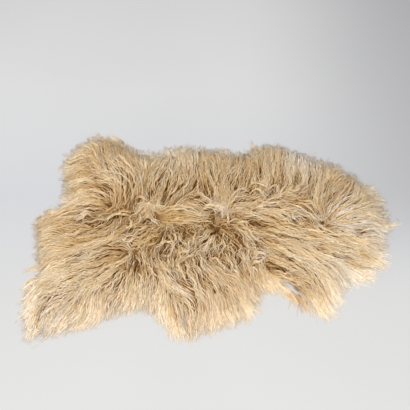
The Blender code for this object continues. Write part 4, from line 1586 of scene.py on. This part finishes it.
class LAMBSKIN_OT_laid_locks(bpy.types.Operator):
    """Lays the locks and tufts that stand out on the back one by one"""

    bl_idname = "lambskin.laid_locks"
    bl_label = "Laid locks"

    def execute(self, context):
        wool = context.scene.lambskin_wool
        rng = seeded(7)
        styles = {row["style"]: row for row in rows_of(STYLE_COLUMNS, STYLE_TABLE)}
        rows = [styles[row["style"]] | row for row in rows_of(LAID_COLUMNS, LAID_TABLE)]
        lines = np.array([along_route(row["route"], LAID_POINTS) for row in rows])
        form = PLAIN_LOCK | {
            "strands": np.array([row["strands"] for row in rows]),
            "width": np.array([row["half_width"] * MM for row in rows]),
            "girth": wool.strand_radius * 0.75,
            "lift": np.array([row["lift"] * MM for row in rows]),
            "curl": np.array([row["curl"] for row in rows]),
            "bow": 0.15,
            "point": 0.45,
            "pressed": 0.0,
            "rise": 0.85,
            "taper": 2.5,
        }
        paths, radii, owner = strands_in_locks(lines, form, rng)
        shade = np.array([row["shade"] for row in rows])
        # The tone table's lighter column: partly the wool's own tone, partly painted light and shade
        shade = shade + 0.6 * toned(lines[:, LAID_POINTS // 2])[0] - 0.06
        shades = np.clip(shade[owner] + rng.normal(0, 0.18, len(owner)), 0, 1)
        tints = np.array([TINT_NAMES.index(row["tint"]) for row in rows])[owner]
        place_wool("laid_locks", Strands(paths, radii, shades, tints), wool)
        return {"FINISHED"}


RIM_POINTS = 8


class LAMBSKIN_OT_rim(bpy.types.Operator):
    """Lays the locks whose tips make the fleece's soft rim"""

    bl_idname = "lambskin.rim"
    bl_label = "Rim locks"

    def execute(self, context):
        wool = context.scene.lambskin_wool
        rng = seeded(5)
        tips = spread_places(wool.lock_spacing * 0.50, rng)
        inside = PILE.read(PILE.inside, tips)
        tips = tips[(inside > rng.uniform(-0.012, 0.001, len(tips))) & (inside < 0.018)]
        lengths = wool.staple * rng.uniform(0.65, 1.0, len(tips))
        lines = lines_to_tips(tips, lengths, wander=0.12, rng=rng)
        curl = tangle(lines[:, LINE_POINTS // 2])
        lines = redrawn(lines, RIM_POINTS)
        count = len(lines)
        far = smooth_step(lines[:, -1, 1], 0.05, 0.15)
        form = PLAIN_LOCK | {
            "strands": wool.rim_strands,
            "width": wool.lock_width * rng.uniform(0.5, 1.0, count),
            "girth": wool.strand_radius * 0.66,
            "depth": 0.45 * rng.random(count) - 0.10,
            "loft": rng.uniform(-0.1, 0.5, count) + 1.2 * far * rng.random(count),
            "curl": curl,
            "point": rng.uniform(0.0, 0.6, count),
            "tuft": 0.15,
            "pressed": 0.0,
            "taper": 6.0,
        }
        paths, radii, owner = strands_in_locks(lines, form, rng)
        shades = shaded(owner, form["depth"] * 0.5, lines[:, RIM_POINTS // 2], rng)
        strands = Strands(paths, radii, shades, tinted(paths, curl[owner], rng))
        behind = paths[:, -1, 1] > 0.0
        place_wool("far_rim_locks", strands.chosen(behind), wool)
        place_wool("near_rim_locks", strands.chosen(~behind), wool)
        return {"FINISHED"}


WISP_POINTS = 7


class LAMBSKIN_OT_wisps(bpy.types.Operator):
    """Teases thin wisps out of the rim"""

    bl_idname = "lambskin.wisps"
    bl_label = "Wisps"

    def execute(self, context):
        wool = context.scene.lambskin_wool
        rng = seeded(2)
        tips = spread_places(wool.lock_spacing * 0.55, rng)
        inside = PILE.read(PILE.inside, tips)
        tips = tips[(inside > rng.uniform(-0.017, -0.002, len(tips))) & (inside < 0.010)]
        lengths = wool.staple * rng.uniform(0.6, 0.85, len(tips))
        lines = lines_to_tips(tips, lengths, wander=0.22, rng=rng)
        lines = redrawn(lines, WISP_POINTS)
        count = len(lines)
        form = PLAIN_LOCK | {
            "strands": wool.wisp_strands,
            "width": wool.lock_width * rng.uniform(1.0, 2.0, count),
            "girth": wool.strand_radius * 0.30,
            "depth": 0.3 * rng.random(count) - 0.15,
            "loft": rng.uniform(0.0, 0.8, count),
            "curl": 0.1,
            "taper": 4.0,
        }
        paths, radii, owner = strands_in_locks(lines, form, rng)
        shades = np.clip(0.95 + rng.normal(0, 0.05, len(owner)), 0, 1)
        strands = Strands(paths, radii, shades, tinted(paths, np.zeros(len(owner)), rng))
        place_wool("rim_wisps", strands, wool)
        return {"FINISHED"}


LOOSE_POINTS = 13


class LAMBSKIN_OT_loose_strands(bpy.types.Operator):
    """Drapes single pale strands loosely over the locks"""

    bl_idname = "lambskin.loose_strands"
    bl_label = "Loose strands"

    def execute(self, context):
        wool = context.scene.lambskin_wool
        rng = seeded(9)
        tips = spread_places(wool.lock_spacing * 0.8, rng)
        curl = tangle(tips)
        tips = tips[(PILE.read(PILE.cover, tips) > 0.8) & (rng.random(len(tips)) < 0.35 + 0.65 * curl)]
        lengths = wool.staple * rng.uniform(0.35, 0.75, len(tips))
        lines = lines_to_tips(tips, lengths, wander=0.25 + 0.9 * tangle(tips), rng=rng)
        curl = tangle(lines[:, LINE_POINTS // 2])
        lines = redrawn(lines, LOOSE_POINTS)
        count = len(lines)
        form = PLAIN_LOCK | {
            "strands": 1,
            "width": 0.002,
            "girth": wool.strand_radius * rng.uniform(0.45, 0.75, count),
            "depth": -0.05,
            "lift": rng.uniform(0.002, 0.006, count),
            "curl": 0.2 + 0.5 * curl,
            "point": 0.0,
            "rise": 0.85,
            "taper": 4.0,
        }
        paths, radii, owner = strands_in_locks(lines, form, rng)
        shades = np.clip(0.95 + rng.normal(0, 0.08, count), 0, 1)
        strands = Strands(paths, radii, shades, tinted(paths, np.zeros(count), rng))
        place_wool("loose_strands", strands, wool)
        return {"FINISHED"}


FLOOR_SIZE = 12.0
LIGHT_COLUMNS = ("name", "place", "size", "share")
LIGHT_TABLE = (
    ("key_light", (-1.1, -2.3, 4.4), 2.4, 1.0),
    ("fill_light", (1.9, -1.8, 3.6), 2.0, 0.16),
)
CAMERA_PLACE = Vector((-0.0203, -0.9605, 1.4808))
CAMERA_AIM = Vector((-0.0203, 0.0764, 0.0))
CAMERA_LENS = 60.0


def aimed(name, data, place, aim):
    """An object at a place, turned so that it looks at its aim."""
    obj = bpy.data.objects.new(name, data)
    obj.location = place
    obj.rotation_euler = (aim - place).to_track_quat("-Z", "Y").to_euler()
    bpy.context.scene.collection.objects.link(obj)
    return obj


class LAMBSKIN_OT_stage(bpy.types.Operator):
    """Sets the floor, the lights and the camera"""

    bl_idname = "lambskin.stage"
    bl_label = "Stage"

    def execute(self, context):
        stage = context.scene.lambskin_stage
        bpy.ops.mesh.primitive_plane_add(size=FLOOR_SIZE, location=(0, 0, 0))
        floor = context.object
        floor.name = "studio_floor"
        floor.data.materials.append(floor_material(stage))
        for row in rows_of(LIGHT_COLUMNS, LIGHT_TABLE):
            light = bpy.data.lights.new(row["name"], "AREA")
            light.size = row["size"]
            light.energy = stage.key_power * row["share"]
            aimed(row["name"], light, Vector(row["place"]), Vector())
        world = bpy.data.worlds.new("Soft studio light")
        world.use_nodes = True
        background = world.node_tree.nodes["Background"]
        background.inputs["Color"].default_value = linear("#F7F7F7")
        background.inputs["Strength"].default_value = stage.sky
        context.scene.world = world
        camera = bpy.data.cameras.new("camera")
        camera.lens = CAMERA_LENS
        context.scene.camera = aimed("camera", camera, CAMERA_PLACE, CAMERA_AIM)
        context.scene.view_settings.view_transform = "Standard"
        return {"FINISHED"}


class LAMBSKIN_PT_panel(bpy.types.Panel):
    """Lists the lambskin's settings and pieces"""

    bl_label = "Lambskin"
    bl_space_type = "VIEW_3D"
    bl_region_type = "UI"
    bl_category = "Lambskin"

    def draw(self, context):
        layout = self.layout
        for group in (context.scene.lambskin_wool, context.scene.lambskin_stage):
            box = layout.box()
            for name in group.bl_rna.properties.keys():
                if name not in ("rna_type", "name"):
                    box.prop(group, name)
        for operator in OPERATORS:
            layout.operator(operator.bl_idname)


OPERATORS = (
    LAMBSKIN_OT_skin,
    LAMBSKIN_OT_underwool,
    LAMBSKIN_OT_locks,
    LAMBSKIN_OT_laid_locks,
    LAMBSKIN_OT_rim,
    LAMBSKIN_OT_wisps,
    LAMBSKIN_OT_loose_strands,
    LAMBSKIN_OT_stage,
)
CLASSES = (LambskinWool, LambskinStage, *OPERATORS, LAMBSKIN_PT_panel)


def register():
    """Registers the add-on's classes and its settings."""
    for cls in CLASSES:
        bpy.utils.register_class(cls)
    bpy.types.Scene.lambskin_wool = bpy.props.PointerProperty(type=LambskinWool)
    bpy.types.Scene.lambskin_stage = bpy.props.PointerProperty(type=LambskinStage)


def unregister():
    """Removes what register added."""
    del bpy.types.Scene.lambskin_stage
    del bpy.types.Scene.lambskin_wool
    for cls in reversed(CLASSES):
        bpy.utils.unregister_class(cls)


def main():
    """Builds the lambskin piece by piece."""
    register()
    bpy.ops.lambskin.skin()
    bpy.ops.lambskin.underwool()
    bpy.ops.lambskin.locks()
    bpy.ops.lambskin.laid_locks()
    bpy.ops.lambskin.rim()
    bpy.ops.lambskin.wisps()
    bpy.ops.lambskin.loose_strands()
    bpy.ops.lambskin.stage()


if __name__ == "__main__":
    main()
